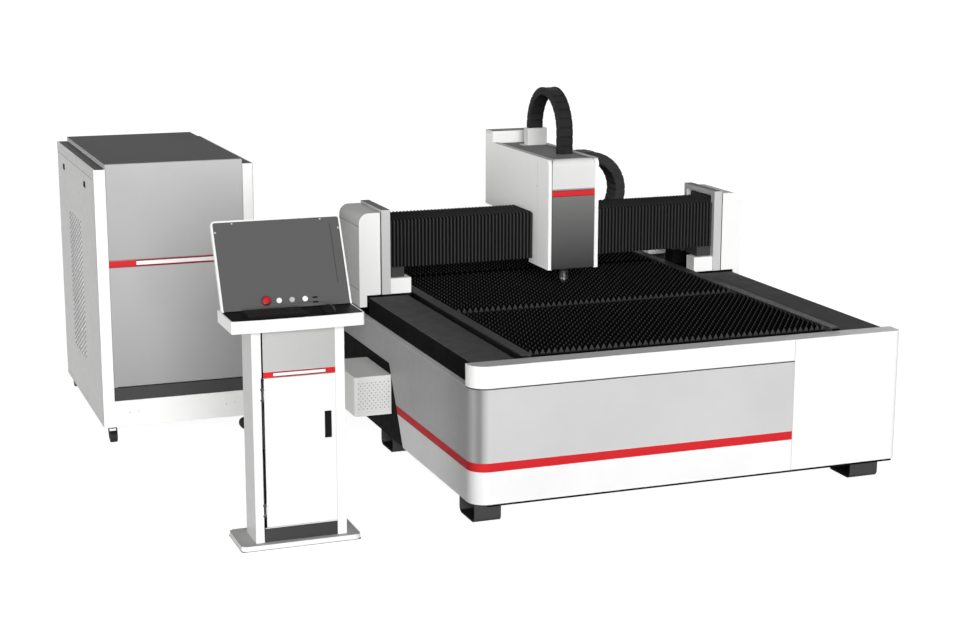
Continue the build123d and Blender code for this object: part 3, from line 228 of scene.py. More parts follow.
def tube(rings):
    """Closed skin over rings of points: quads between neighbouring rings, one flat cap at each end."""
    rings = np.asarray(rings, float)
    count, around = rings.shape[:2]
    index = np.arange(count * around).reshape(count, around)
    after = np.roll(index, -1, axis=1)
    quads = stacked(index[:-1], after[:-1], after[1:], index[1:]).reshape(-1, 4)
    return rings.reshape(-1, 3), quads.tolist() + [index[0, ::-1].tolist(), index[-1].tolist()]


def joined(shapes):
    """Several shapes as one, their faces renumbered."""
    points, faces, start = [], [], 0
    for shape_points, shape_faces in shapes:
        points.append(shape_points)
        faces += [[corner + start for corner in face] for face in shape_faces]
        start += len(shape_points)
    return np.concatenate(points), faces


def repeated(shape, moves):
    """Copies of a shape, one for each move."""
    points, faces = shape
    moves = np.asarray(moves, float)
    copies = (points[None] + moves[:, None]).reshape(-1, 3)
    starts = np.arange(len(moves)) * len(points)
    return copies, [[corner + start for corner in face] for start in starts for face in faces]


def placed(shape, origin, x_axis, y_axis, z_axis):
    """Shape moved from its own axes to the given ones: origin + x·X + y·Y + z·Z."""
    points, faces = shape
    return np.asarray(origin) + points @ np.array([x_axis, y_axis, z_axis], float), faces


def rounded_rectangle(width, height, radius, steps=4):
    """Closed outline round the origin: four quarter circles of the given radius, counter-clockwise."""
    quarter = np.linspace(0, math.pi / 2, steps + 1)
    outline = []
    for turn, (sx, sy) in enumerate(((1, 1), (-1, 1), (-1, -1), (1, -1))):
        angle = quarter + turn * math.pi / 2
        centre = np.array([sx * (width / 2 - radius), sy * (height / 2 - radius)])
        outline.append(centre + radius * stacked(np.cos(angle), np.sin(angle)))
    return np.concatenate(outline)


def shrunk(outline, distance):
    """Outline moved inwards: each corner along the mean of its two edge normals, lengthened to keep the wall."""
    before = outline - np.roll(outline, 1, axis=0)
    after = np.roll(outline, -1, axis=0) - outline
    normals = [stacked(-edge[:, 1], edge[:, 0]) / np.linalg.norm(edge, axis=1, keepdims=True)
               for edge in (before, after)]
    mean = normals[0] + normals[1]
    mean /= np.maximum((mean * mean).sum(axis=1, keepdims=True) / 2, 1e-6)
    return outline + distance * mean


def plate(outline, low, high, edge=0.0008):
    """Solid plate over an outline: straight walls, and a 45 degree bevel round both faces."""
    inner = shrunk(outline, edge)
    levels = ((inner, low), (outline, low + edge), (outline, high - edge), (inner, high))
    return tube([raised(ring, level) for ring, level in levels])


def brick(low, high, edge=0.0008, radius=0.002):
    """Upright block between two corners with softened edges."""
    low, high = np.asarray(low, float), np.asarray(high, float)
    middle = (low + high) / 2
    outline = middle[:2] + rounded_rectangle(*(high - low)[:2], radius, 2)
    return plate(outline, low[2], high[2], edge)


def ball(centre, radii, rows=12, columns=24, floor=None):
    """Ellipsoid: centre + radii·(cos v cos u, cos v sin u, sin v), cut flat below the floor."""
    v = np.linspace(-math.pi / 2, math.pi / 2, rows + 1)[1:-1]
    u = np.linspace(0, 2 * math.pi, columns, endpoint=False)
    v, u = np.meshgrid(v, u, indexing="ij")
    rings = stacked(np.cos(v) * np.cos(u), np.cos(v) * np.sin(u), np.sin(v)) * radii + centre
    if floor is not None:
        rings[..., 2] = np.maximum(rings[..., 2], floor)
    return tube(rings)


def disc(radius, height, steps=14):
    """Round button along +Z with a bevelled rim: rings at 1, 1 and 0.8 of the full radius."""
    angle = np.linspace(0, 2 * math.pi, steps, endpoint=False)
    circle = stacked(np.cos(angle), np.sin(angle)) * radius
    levels = ((1.0, 0.0), (1.0, height * 0.6), (0.8, height))
    return tube([raised(circle * share, level) for share, level in levels])


# Objects

def linked(name, data):
    """New object in the scene."""
    thing = bpy.data.objects.new(name, data)
    bpy.context.scene.collection.objects.link(thing)
    return thing


def made(name, shape, finish, slot, stands_for=(), body="machine", smooth_angle=32, ridge=None):
    """Object of a shape or a list of shapes, with its finish, riding on a body; ridge: 0 in folds, 1 on crests."""
    points, faces = joined(shape) if isinstance(shape, list) else shape
    mesh = bpy.data.meshes.new(name)
    mesh.from_pydata(points.tolist(), [], faces)
    mesh.update()
    mesh.shade_smooth()
    mesh.set_sharp_from_angle(angle=math.radians(smooth_angle))
    mesh.materials.append(finish)
    if ridge is not None:
        mesh.attributes.new("ridge", "FLOAT", "POINT").data.foreach_set("value", np.ravel(ridge).astype(float))
    piece = linked(name, mesh)
    if body:
        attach(piece, body)
    if stands_for:
        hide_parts(*stands_for)
    return piece


def slab(name, low, high, finish, slot, edge=strip_edge, radius=strip_corner, body="machine"):
    """Softened block as a piece of its own."""
    return made(name, brick(low, high, edge, radius), finish, slot, body=body)


def smoothed(node, finish, bevel=0.0):
    """Copy of a CAD node with its seams merged, its curves shaded smooth and its edges softened."""
    mesh = nodes[node].data.copy()
    mesh.name = node + "_finished"
    work = bmesh.new()
    work.from_mesh(mesh)
    bmesh.ops.remove_doubles(work, verts=work.verts, dist=2e-6)
    bmesh.ops.dissolve_limit(work, angle_limit=math.radians(0.6), verts=work.verts, edges=work.edges)
    work.to_mesh(mesh)
    work.free()
    mesh.shade_smooth()
    mesh.set_sharp_from_angle(angle=math.radians(26))
    mesh.materials.clear()
    mesh.materials.append(finish)
    piece = linked(mesh.name, mesh)
    if bevel:
        softening = piece.modifiers.new("softened edges", "BEVEL")
        softening.width = bevel
        softening.segments = 2
        softening.limit_method = "ANGLE"
        softening.angle_limit = math.radians(40)
    body = next(name for name, members in frame["record"]["behaviour"]["bodies"].items() if node in members)
    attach(piece, body)
    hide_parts(node)
    return piece


def two_tone(piece, finish, chosen):
    """Another finish for the faces picked by chosen(at, facing): their centres and normals, each as rows x, y, z."""
    mesh = piece.data
    count = len(mesh.polygons)
    at, facing, index = np.empty(3 * count), np.empty(3 * count), np.empty(count, np.int32)
    mesh.polygons.foreach_get("center", at)
    mesh.polygons.foreach_get("normal", facing)
    mesh.polygons.foreach_get("material_index", index)
    index[chosen(at.reshape(-1, 3).T, facing.reshape(-1, 3).T)] = len(mesh.materials)
    mesh.materials.append(finish)
    mesh.polygons.foreach_set("material_index", index)


def dress(finish, *names):
    """Give CAD nodes their finish."""
    for name in names:
        materials = nodes[name].data.materials
        materials.clear()
        materials.append(finish)


# Finishes

def blank(name):
    material = bpy.data.materials.new(name)
    material.use_nodes = True
    tree = material.node_tree
    return material, tree, tree.nodes["Principled BSDF"], add(tree, "TexCoord").outputs["Object"]


def feed(tree, node, inputs):
    """Give a shader node its inputs, as values or linked sockets."""
    for key, value in dict(inputs).items():
        if isinstance(value, bpy.types.NodeSocket):
            tree.links.new(value, node.inputs[key])
        else:
            node.inputs[key].default_value = value
    return node


def add(tree, kind, inputs=(), **settings):
    """New shader node with its settings and inputs."""
    node = tree.nodes.new("ShaderNode" + kind)
    for key, value in settings.items():
        setattr(node, key, value)
    return feed(tree, node, inputs)


def speckle(tree, place, scale, detail=3.0, roughness=0.5):
    inputs = {"Vector": place, "Scale": scale, "Detail": detail, "Roughness": roughness}
    return add(tree, "TexNoise", inputs).outputs["Fac"]


def stretched(tree, place, scale):
    return add(tree, "Mapping", {"Vector": place, "Scale": scale}).outputs["Vector"]


def spread(tree, value, low, high, start=0.35, end=0.65):
    """Value carried from start…end to low…high."""
    inputs = {"Value": value, "From Min": start, "From Max": end, "To Min": low, "To Max": high}
    return add(tree, "MapRange", inputs).outputs["Result"]


def blend_colours(tree, factor, first, second):
    """Colour from first to second by a factor. The mix node's sockets share their names, so they go by place."""
    first, second = (value if isinstance(value, bpy.types.NodeSocket) else (*value, 1.0) for value in (first, second))
    inputs = {0: factor, mix_first: first, mix_second: second}
    return feed(tree, add(tree, "Mix", data_type="RGBA"), inputs).outputs[mix_result]


def relief(tree, height, distance, strength):
    return add(tree, "Bump", {"Height": height, "Distance": distance, "Strength": strength}).outputs["Normal"]


def powder(tree, shader, place, colour, roughness, gloss):
    """Powder coat over a colour: an uneven sheen and orange-peel relief."""
    sheen = speckle(tree, place, 38.0)
    feed(tree, shader, {"Base Color": colour, "Specular IOR Level": gloss,
                        "Roughness": spread(tree, sheen, roughness - 0.05, roughness + 0.06),
                        "Normal": relief(tree, speckle(tree, place, 520.0, 2.0), 0.0002, 0.25)})


def coat(name, colour, roughness=0.36, mottle=0.03, gloss=0.1):
    """Powder coat in one colour or grey level, with faint cloudy mottling."""
    material, tree, shader, place = blank(name)
    colour = np.broadcast_to(colour, 3)
    cloud = spread(tree, speckle(tree, place, cloud_scale, 4.0), 0.0, 1.0)
    tint = blend_colours(tree, cloud, colour * (1 - mottle), np.minimum(colour * (1 + mottle), 1))
    powder(tree, shader, place, tint, roughness, gloss)
    return material


def banded(name, stops, roughness=0.36, gloss=0.1, axis="Z"):
    """Powder coat whose colour follows the place along an axis: stops (place, colour), blended in a line. It carries
    real paint bands, and painted light and shade as well.
    """
    material, tree, shader, place = blank(name)
    along = add(tree, "SeparateXYZ", {"Vector": place}).outputs[axis]
    low, high = stops[0][0], stops[-1][0]
    ramp = add(tree, "ValToRGB", {"Fac": spread(tree, along, 0.0, 1.0, low, high)})
    elements = ramp.color_ramp.elements
    while len(elements) < len(stops):
        elements.new(0.5)
    for element, (stop, colour) in zip(elements, stops):
        element.position = (stop - low) / (high - low)
        element.color = (*np.broadcast_to(colour, 3), 1.0)
    cloud = spread(tree, speckle(tree, place, cloud_scale, 4.0), 0.94, 1.0)
    shade = add(tree, "VectorMath", {0: ramp.outputs["Color"], "Scale": cloud}, operation="SCALE")
    powder(tree, shader, place, shade.outputs["Vector"], roughness, gloss)
    return material


def metal(name, colour, roughness, grain=(1.0, 1.0, 1.0), lines=240.0):
    """Bare metal: brushed or turned lines, drawn out along one axis, in colour, sheen and relief."""
    material, tree, shader, place = blank(name)
    colour = np.array(colour)
    brushed = speckle(tree, stretched(tree, place, grain), lines, 5.0, 0.6)
    feed(tree, shader, {"Base Color": blend_colours(tree, spread(tree, brushed, 0.0, 1.0), colour, colour * 0.8),
                        "Roughness": spread(tree, brushed, roughness - 0.08, roughness + 0.1),
                        "Normal": relief(tree, brushed, 0.0001, 0.35), "Metallic": 1.0})
    return material


def moulded(name, colour, roughness=0.45, grain=900.0, depth=0.0003, sheen=0.5):
    """Moulded plastic or rubber: fine spark-eroded grain, with faint flow marks in the colour."""
    material, tree, shader, place = blank(name)
    colour = np.broadcast_to(colour, 3)
    flow = spread(tree, speckle(tree, stretched(tree, place, (1.0, 1.0, 3.0)), 9.0, 3.0), 0.0, 1.0)
    texture = speckle(tree, place, grain, 2.0)
    feed(tree, shader, {"Base Color": blend_colours(tree, flow, colour * 0.86, np.minimum(colour * 1.1, 1)),
                        "Roughness": spread(tree, texture, roughness - 0.06, roughness + 0.08),
                        "Normal": relief(tree, texture, depth, 0.4), "Specular IOR Level": sheen})
    return material


def coated_cloth(name, colour, ridge=None):
    """Coated fabric: a fine weave under a dull coating, paler on the ridges where the piece has them, as painted light
    on the crests and painted shade in the folds.
    """
    material, tree, shader, place = blank(name)
    colour = np.broadcast_to(colour, 3)
    weave = add(tree, "TexWave", {"Vector": place, "Scale": 420.0, "Distortion": 1.5, "Detail": 1.0},
                wave_type="BANDS", bands_direction="DIAGONAL").outputs["Fac"]
    dust = speckle(tree, place, 14.0, 5.0)
    tint = blend_colours(tree, spread(tree, dust, 0.0, 1.0), colour * 0.92, colour * 1.08)
    if ridge is not None:
        # Crests blended to the ridge colour: painted light, the folds left dark as painted shade
        crest = add(tree, "Attribute", attribute_name="ridge").outputs["Fac"]
        tint = blend_colours(tree, spread(tree, crest, 0.0, 1.0, 0.35, 0.95), tint, ridge)
    feed(tree, shader, {"Base Color": tint, "Specular IOR Level": 0.0, "Roughness": spread(tree, dust, 0.55, 0.7),
                        "Normal": relief(tree, weave, 0.0003, 0.3)})
    return material


white = (0.88, 0.88, 0.87)
red = (0.64, 0.026, 0.032)
# Darker red: painted shadow along the edges of recessed red bands
recess_shadow_red = (0.25, 0.012, 0.014)
white_coat = coat("white_powder_coat", white, mottle=0.01, gloss=0.04)
# White paint dimmed to pale grey: painted shade, for white parts that stand in shade
white_shade_coat = coat("white_coat_painted_shade", (0.74, 0.74, 0.73), mottle=0.015)
silver_coat = coat("silver_grey_powder_coat", (0.60, 0.60, 0.59), 0.33, mottle=0.02, gloss=0.15)
# Grey for the cabinet's white side panel: painted shade
side_panel_shade_coat = coat("side_panel_painted_shade", (0.49, 0.49, 0.485), mottle=0.015)
# Darker grey between the vent slots: painted shade
vent_zone_shade_coat = coat("pierced_zone_painted_shade", (0.22, 0.22, 0.215), mottle=0.015)
# Grey for the white frame's faces that look to -X: painted shade
frame_side_painted_shade = coat("frame_side_painted_shade", (0.46, 0.46, 0.455), mottle=0.015)
# Grey for the white console stand's faces that look to -X: painted shade
pillar_side_shade_coat = coat("pillar_side_painted_shade", (0.59, 0.59, 0.585), mottle=0.015)
# Grey for upward faces of white parts: painted shade
top_shade_coat = coat("top_face_painted_shade", (0.50, 0.50, 0.495), mottle=0.015, gloss=0.02)
fascia_coat = coat("fascia_coat", (0.50, 0.50, 0.495), mottle=0.015)
# Grey for the tops of the white pan's folded rims: painted shade
rim_top_shade_coat = coat("rim_top_painted_shade", (0.50, 0.47, 0.465), 0.5, mottle=0.015, gloss=0.02)
ledge_coat = coat("ledge_coat", (0.60, 0.60, 0.595), 0.5, mottle=0.015, gloss=0.02)
# Dark grey for the tops of the grey end plates: painted shade
plate_top_shade_coat = coat("plate_top_painted_shade", 0.17, 0.6, mottle=0.02, gloss=0.02)
# Grey for painted shade on the white gantry covers' sides and top, also the colour of real seams
side_shade_and_seam_coat = coat("cover_side_shade_and_seam_coat", (0.47, 0.47, 0.465), 0.4, mottle=0.02, gloss=0.05)
red_coat = coat("red_powder_coat", red, 0.3, gloss=0.05)
recess_shadow_red_coat = coat("red_recess_painted_shadow", recess_shadow_red, 0.4)
# Mid grey paint for the head's top, also used for the painted contact shadow round the console's foot
mid_grey_and_shadow_coat = coat("mid_grey_paint_and_painted_shadow", 0.19, 0.6, mottle=0.02, gloss=0.02)
plate_coat = coat("gantry_plate_coat", 0.56, 0.4, mottle=0.02, gloss=0.1)
kick_coat = coat("dark_grey_powder_coat", 0.050, 0.45, gloss=0.1)
# Black paint for black parts, also used for painted shadows: strips at the vent slots, a strip under the bed front and
# the rear slider blocks
black_paint_and_shadow_coat = coat("black_paint_and_painted_shadow", 0.006, 0.6, gloss=0.01)
foot_coat = coat("foot_paint", 0.016, 0.5, gloss=0.02)
# Lighter copy of the foot paint for the front faces: painted light
foot_front_light_coat = coat("foot_front_painted_light", 0.060, 0.5, gloss=0.02)
bracket_coat = coat("bracket_paint", 0.052, 0.5, gloss=0.03)
flange_coat = coat("table_paint", 0.048, 0.5, gloss=0.02)
screen_coat = coat("screen_panel_coat", 0.105, 0.5, mottle=0.01, gloss=0.05)
line_coat = coat("dark_line_coat", 0.070, 0.5, gloss=0.15)
ground_steel = metal("ground_steel", (0.55, 0.56, 0.57), 0.32, (1.0, 0.05, 1.0))
# Slats toned by height, nearly black low down and paler at the tooth tips: painted shade from the slat in front and
# painted light on the tips
slat_steel = banded("slat_steel", ((0.668, 0.002), (0.776, 0.003), (0.782, 0.020), (0.788, 0.090)), 0.5, 0.02)
# First slat of each cassette paler over more of its height: painted light, as no slat in front shades it
lead_slat_painted_light = banded("lead_slat_painted_light", ((0.668, 0.003), (0.758, 0.004), (0.766, 0.045), (0.788, 0.060)),
                         0.5, 0.02)
zinc = metal("zinc_plate", (0.52, 0.52, 0.50), 0.38, lines=30.0)
turned_aluminium = metal("turned_aluminium", (0.66, 0.67, 0.68), 0.26, (0.1, 0.1, 1.0), 500.0)
turned_steel = metal("turned_steel", (0.70, 0.70, 0.70), 0.16, (0.1, 0.1, 1.0), 700.0)
# Bellows paler on the pleat crests: painted light, with painted shade in the folds
bellows_cloth = coated_cloth("bellows_cloth", 0.006, ridge=(0.056, 0.056, 0.056))
cover_cloth = coated_cloth("rail_cover_cloth", 0.105)
# Darker copy of the rail cover cloth for its sides: painted shade
cover_side_shade_cloth = coated_cloth("rail_cover_side_painted_shade", 0.011)
chain_plastic = moulded("chain_nylon", 0.034, 0.5, sheen=0.03)
dark_chain_plastic = moulded("dark_chain_nylon", 0.021, 0.5, sheen=0.03)
black_plastic = moulded("black_plastic", 0.008, 0.5, sheen=0.05)
desk_laminate = moulded("desk_laminate", 0.006, 0.4, 1500.0, 0.00005, 0.02)
grey_plastic = moulded("grey_plastic", 0.48, 0.4, 500.0)
white_plastic = moulded("white_plastic", 0.97, 0.35, 500.0, sheen=0.1)
red_plastic = moulded("red_plastic", (0.56, 0.022, 0.024), 0.4, 400.0, sheen=0.05)
# Dark red for the stop button's sides: painted shade
red_plastic_side_shade = moulded("red_plastic_side_shade", (0.12, 0.004, 0.004), 0.35, 400.0)
key_plastic = moulded("key_plastic", 0.016, 0.5, sheen=0.05)
mat_cloth = coated_cloth("mouse_mat_cloth", (0.035, 0.035, 0.036))
tyre_rubber = moulded("tyre_rubber", 0.012, 0.55, sheen=0.2)
# Near-white sheet seen through the vent slots: painted highlight
vent_highlight_mat = moulded("vent_highlight_mat", 0.97, 0.7, 300.0, 0.0005, 0.1)


# Slat table

def slat_row(start, half, bottom, tip, chosen):
    """Chosen slats of one cassette: the top edge is a triangle wave, |tooth phase|·depth below the tips."""
    teeth = round(2 * half / tooth_step)
    x = np.linspace(-half, half, 2 * teeth + 1)
    top = tip - tooth_depth * (np.arange(2 * teeth + 1) % 2 == 0)
    side = slat_thickness / 2
    rings = stacked(x[:, None], (-side, side, side, -side), stacked(top, top, bottom, bottom))
    moves = np.zeros((slats_each, 3))
    moves[:, 1] = start + (cassette_length - (slats_each - 1) * slat_step) / 2 + np.arange(slats_each) * slat_step
    return repeated(tube(rings), moves[chosen])


def make_table():
    low, high = corners("slats")
    start = corners("table_frame")[0][1]
    rows = (("front_slats", lead_slat_painted_light), ("middle_slats", lead_slat_painted_light), ("rear_slats", slat_steel))
    for i, (name, lead) in enumerate(rows):
        place = start + i * cassette_length, high[0], low[2], high[2]
        made(name, slat_row(*place, slice(1, None)), slat_steel, "slat_steel", ("slats",) if i == 0 else ())
        made(name + "_lead", slat_row(*place, slice(1)), lead, "slat_steel")
    smoothed("table_frame", flange_coat, 0.0008)


# Pleated and plain covers between two bodies

def rounded_u(width, depth, radius, wall, steps=4):
    """Closed outline of an upside-down U: up the outer side, over the rounded top, down, and back inside."""
    arc = np.linspace(0, math.pi / 2, steps + 1)
    left = stacked(-width / 2 + radius - radius * np.cos(arc), -radius + radius * np.sin(arc))
    outer = np.concatenate([[(-width / 2, -depth)], left, left[::-1] * (-1, 1), [(width / 2, -depth)]])
    normal = np.concatenate([[(-1.0, 0.0)], stacked(-np.cos(arc), np.sin(arc)),
                             stacked(np.cos(arc), np.sin(arc))[::-1], [(1.0, 0.0)]])
    inner = (outer - wall * normal)[::-1]
    return np.concatenate([outer, inner]), np.concatenate([normal, normal[::-1]])


def unfold_share(share):
    """The t at which t²(3 − 2t) reaches a share: 1/2 − sin(asin(1 − 2·share)/3)."""
    return 0.5 - math.sin(math.asin(1 - 2 * share) / 3)


def stretch(piece, still, moving, start, end, first, last):
    """Bake one stretch of a cover in place; the blend of its share of the motion, from first to last, is not made."""
    t0, t1 = unfold_share(first), unfold_share(last)
    start, end = np.asarray(start, float), np.asarray(end, float)
    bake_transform(piece)


def pleated_run(name, x_still, x_moving, y, z):
    """Bellows over the beam: a rounded U along X, moved in and out along its normals by a triangle wave."""
    count = round(abs(x_moving - x_still) / pleat_step)
    outline, normal = rounded_u(y[1] - y[0], z[1] - z[0], bellows_corner, bellows_wall)
    shares = sorted({round(share * count) for share in fold_shares})
    for first, last in zip(shares, shares[1:]):
        fold = np.arange(2 * first, 2 * last + 1)
        depth = -pleat_depth * (fold % 2 == 0)
        across = outline[None] + depth[:, None, None] * normal[None]
        x = x_still + (x_moving - x_still) * fold / (2 * count)
        rings = stacked(x[:, None], (y[0] + y[1]) / 2 + across[..., 0], np.maximum(z[1] + across[..., 1], z[0]))
        rings = rings if x_moving < x_still else rings[:, ::-1]
        ridge = np.repeat(fold % 2, len(outline))
        piece = made(f"{name}_{first:02d}", tube(rings), bellows_cloth, "cover_fabric",
                     ("beam_bellows",) if first == 0 else (), None, 12, ridge)
        ends = [(rings[i, 0, 0], 0.0, 0.0) for i in (0, -1)]
        stretch(piece, "gantry", "carriage", *ends, first / count, last / count)


def rail_run(name, y_still, y_moving):
    """Smooth cover over one rail on each side: a rounded U carried along Y."""
    low, high = corners("way_covers")
    outline, _ = rounded_u(cover_width, high[2] - low[2], cover_corner, cover_wall)
    shapes = []
    for side in (-1, 1):
        y = np.linspace(y_still, y_moving, cover_steps + 1)[:, None]
        rings = stacked(side * (high[0] - cover_width / 2) + outline[:, 0], y, high[2] + outline[:, 1])
        shapes.append(tube(rings if y_moving > y_still else rings[:, ::-1]))
    piece = made(name, shapes, cover_cloth, "cover_fabric", ("way_covers",), None)
    # Sides of the rail covers in the darker cloth: painted shade
    two_tone(piece, cover_side_shade_cloth, lambda at, facing: facing[2] < 0.7)
    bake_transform(piece)


def make_covers():
    low, high = corners("beam_bellows")
    head_low, head_high = corners("head_cover")
    y, z = (low[1], high[1]), (low[2], high[2])
    pleated_run("left_bellows", low[0], head_low[0] - fit, y, z)
    pleated_run("right_bellows", high[0], head_high[0] + fit, y, z)
    low, high = corners("way_covers")
    saddle_low, saddle_high = corners("gantry_saddles")
    rail_run("front_rail_covers", low[1], saddle_low[1] - fit)
    rail_run("rear_rail_covers", high[1], saddle_high[1] + fit)


# Energy chains

def link_sections(thickness, width):
    """Section of a chain link, with rails at both sides of its cross bars, and the section between two bars."""
    n, w = thickness / 2, width / 2
    quarter = np.array([(n - link_recess, w - link_rail), (n, w - link_rail), (n, w - link_corner),
                        (n - link_corner, w)])
    half = np.concatenate([quarter, quarter[::-1] * (-1, 1)])
    bar = np.concatenate([half, half[::-1] * (1, -1)])
    gap = bar.copy()
    low = np.abs(bar[:, 0]) == n - link_recess
    gap[low, 0] -= np.sign(bar[low, 0]) * link_gap
    gap[~low] *= (1 - 0.0020 / n, 1 - 0.0012 / w)
    return bar, gap


def chain_tube(length, along, height, turn, place, width, thickness, link):
    """Chain over part of its path: a tube whose section alternates between cross bars and gaps, with a pin per link.

    along and height give the path for the distance s, turn the angle of its outward normal, and place carries
    (along, height, across) to the machine.
    """
    links = max(1, round(length / link))
    pitch = length / links
    marks = np.array([0.0, 0.07, 0.10, 0.50, 0.90, 0.93])
    s = np.append((np.arange(links)[:, None] + marks).ravel() * pitch, length)
    in_gap = np.append(np.tile([1.0, 1.0, 0.0, 0.0, 0.0, 1.0], links), 1.0)[:, None, None]
    bar, gap = link_sections(thickness, width)
    across = bar[None] + in_gap * (gap - bar)[None]
    angle = turn(s)
    rings = stacked(along(s)[:, None] + across[..., 0] * np.cos(angle)[:, None],
                    height(s)[:, None] + across[..., 0] * np.sin(angle)[:, None], width / 2 + across[..., 1])
    shapes = [tube(rings)]
    joints = (np.arange(links) + 0.5) * pitch
    for side, flip in ((0, (1, -1, -1)), (1, (1, 1, 1))):
        points, faces = disc(link_pin, 0.0016, 10)
        shapes.append(repeated((points * flip, faces), stacked(along(joints), height(joints), side * width)))
    points, faces = joined(shapes)
    return place(points), faces


def make_x_chain():
    """Chain along the beam: upper run from the head, half a turn round the bend, lower run in the trough."""
    low, high = corners("x_chain")
    section = high[1] - low[1], x_chain_thickness, x_chain_link
    (centre_x, centre_z), radius = x_chain_bend, x_chain_radius
    upper_start, lower_end = corners("head_cover")[0][0] + x_chain_clear, low[0]

    def place(points):
        return np.column_stack([points[:, 0], high[1] - points[:, 2], points[:, 1]])

    middle = (upper_start + centre_x) / 2
    lower_middle = (centre_x + lower_end) / 2
    runs = (
        ("upper_chain_rear", upper_start, middle, 1, 1.0, 0.75),
        ("upper_chain_front", middle, centre_x, 1, 0.75, 0.5),
        ("lower_chain_front", centre_x, lower_middle, -1, 0.5, 0.25),
        ("lower_chain_rear", lower_middle, lower_end, -1, 0.25, 0.0),
    )
    for name, x0, x1, side, first, last in runs:
        shape = chain_tube(abs(x1 - x0), lambda s: x0 + side * s, lambda s: np.full_like(s, centre_z + side * radius),
                           lambda s: np.full_like(s, side * math.pi / 2), place, *section)
        piece = made(name, shape, chain_plastic, "chain_plastic", ("x_chain",), None)
        stretch(piece, "gantry", "carriage", (x1, 0, 0), (x0, 0, 0), last, first)
    shape = chain_tube(math.pi * radius, lambda s: centre_x + radius * np.sin(s / radius),
                       lambda s: centre_z + radius * np.cos(s / radius), lambda s: math.pi / 2 - s / radius,
                       place, *section)
    piece = made("chain_bend", shape, chain_plastic, "chain_plastic", ("x_chain",), None)
    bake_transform(piece)


def make_z_chain():
    """Chain over the head: up from the height slide, half a turn, and down to the bracket on the cover."""
    low, high = corners("z_chain")
    centre_y, centre_z = z_chain_bend
    radius = z_chain_radius
    front = centre_z - corners("z_slide")[1][2] - fit
    rear = centre_z - corners("chain_bracket")[1][2] - fit
    half_turn = math.pi * radius

    def place(points):
        return np.column_stack([low[0] + points[:, 2], points[:, 0], points[:, 1]])

    def arc(s):
        return np.clip(s - front, 0, half_turn) / radius

    def along(s):
        return centre_y - radius * np.cos(arc(s))

    def height(s):
        return centre_z + np.minimum(s - front, 0) + radius * np.sin(arc(s)) - np.maximum(s - front - half_turn, 0)

    shape = chain_tube(front + half_turn + rear, along, height, lambda s: math.pi - arc(s), place,
                       high[0] - low[0], z_chain_thickness, z_chain_link)
    piece = made("head_chain", shape, dark_chain_plastic, "chain_plastic", ("z_chain",), None)
    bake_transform(piece)


# Cabinet side panel

def staggered(spans, counts, size):
    """Every other cell of a grid over two spans: an opening of one size in its middle, as (lowest, highest) corner."""
    steps = [(end - start) / count for (start, end), count in zip(spans, counts)]
    middles = np.array([[span[0] + (place + 0.5) * step for span, step, place in zip(spans, steps, cell)]
                        for cell in np.ndindex(*counts) if sum(cell) % 2 == 0])
    half = np.array(size) / 2
    return np.stack([middles - half, middles + half], axis=1)


def pierced_sheet(low, high, openings, x0, x1):
    """Sheet in the Y-Z plane, on the grid of its openings' edges: faces outside them, and a wall at each edge."""
    y_lines, z_lines = (np.unique([low[i], high[i], *openings[..., i].ravel()]) for i in (0, 1))
    y, z = np.meshgrid(y_lines, z_lines, indexing="ij")
    rows, columns = y.shape
    index = np.arange(rows * columns).reshape(rows, columns)
    size = rows * columns
    y_mid, z_mid = (y_lines[1:] + y_lines[:-1]) / 2, (z_lines[1:] + z_lines[:-1]) / 2
    solid = np.zeros((rows + 1, columns + 1), bool)
    inside = solid[1:-1, 1:-1]
    inside[:] = True
    for start, end in openings:
        inside[np.ix_((y_mid > start[0]) & (y_mid < end[0]), (z_mid > start[1]) & (z_mid < end[1]))] = False
    a, b, c, d = index[:-1, :-1], index[1:, :-1], index[1:, 1:], index[:-1, 1:]
    quads = [stacked(a, d, c, b)[inside], stacked(a, b, c, d)[inside] + size]
    walls = ((a, b, solid[1:-1, :-2]), (b, c, solid[2:, 1:-1]), (c, d, solid[1:-1, 2:]), (d, a, solid[:-2, 1:-1]))
    for start, end, neighbour in walls:
        quads.append(stacked(start, end, end + size, start + size)[inside & ~neighbour])
    return np.concatenate([stacked(x, y, z).reshape(-1, 3) for x in (x0, x1)]), np.concatenate(quads).tolist()


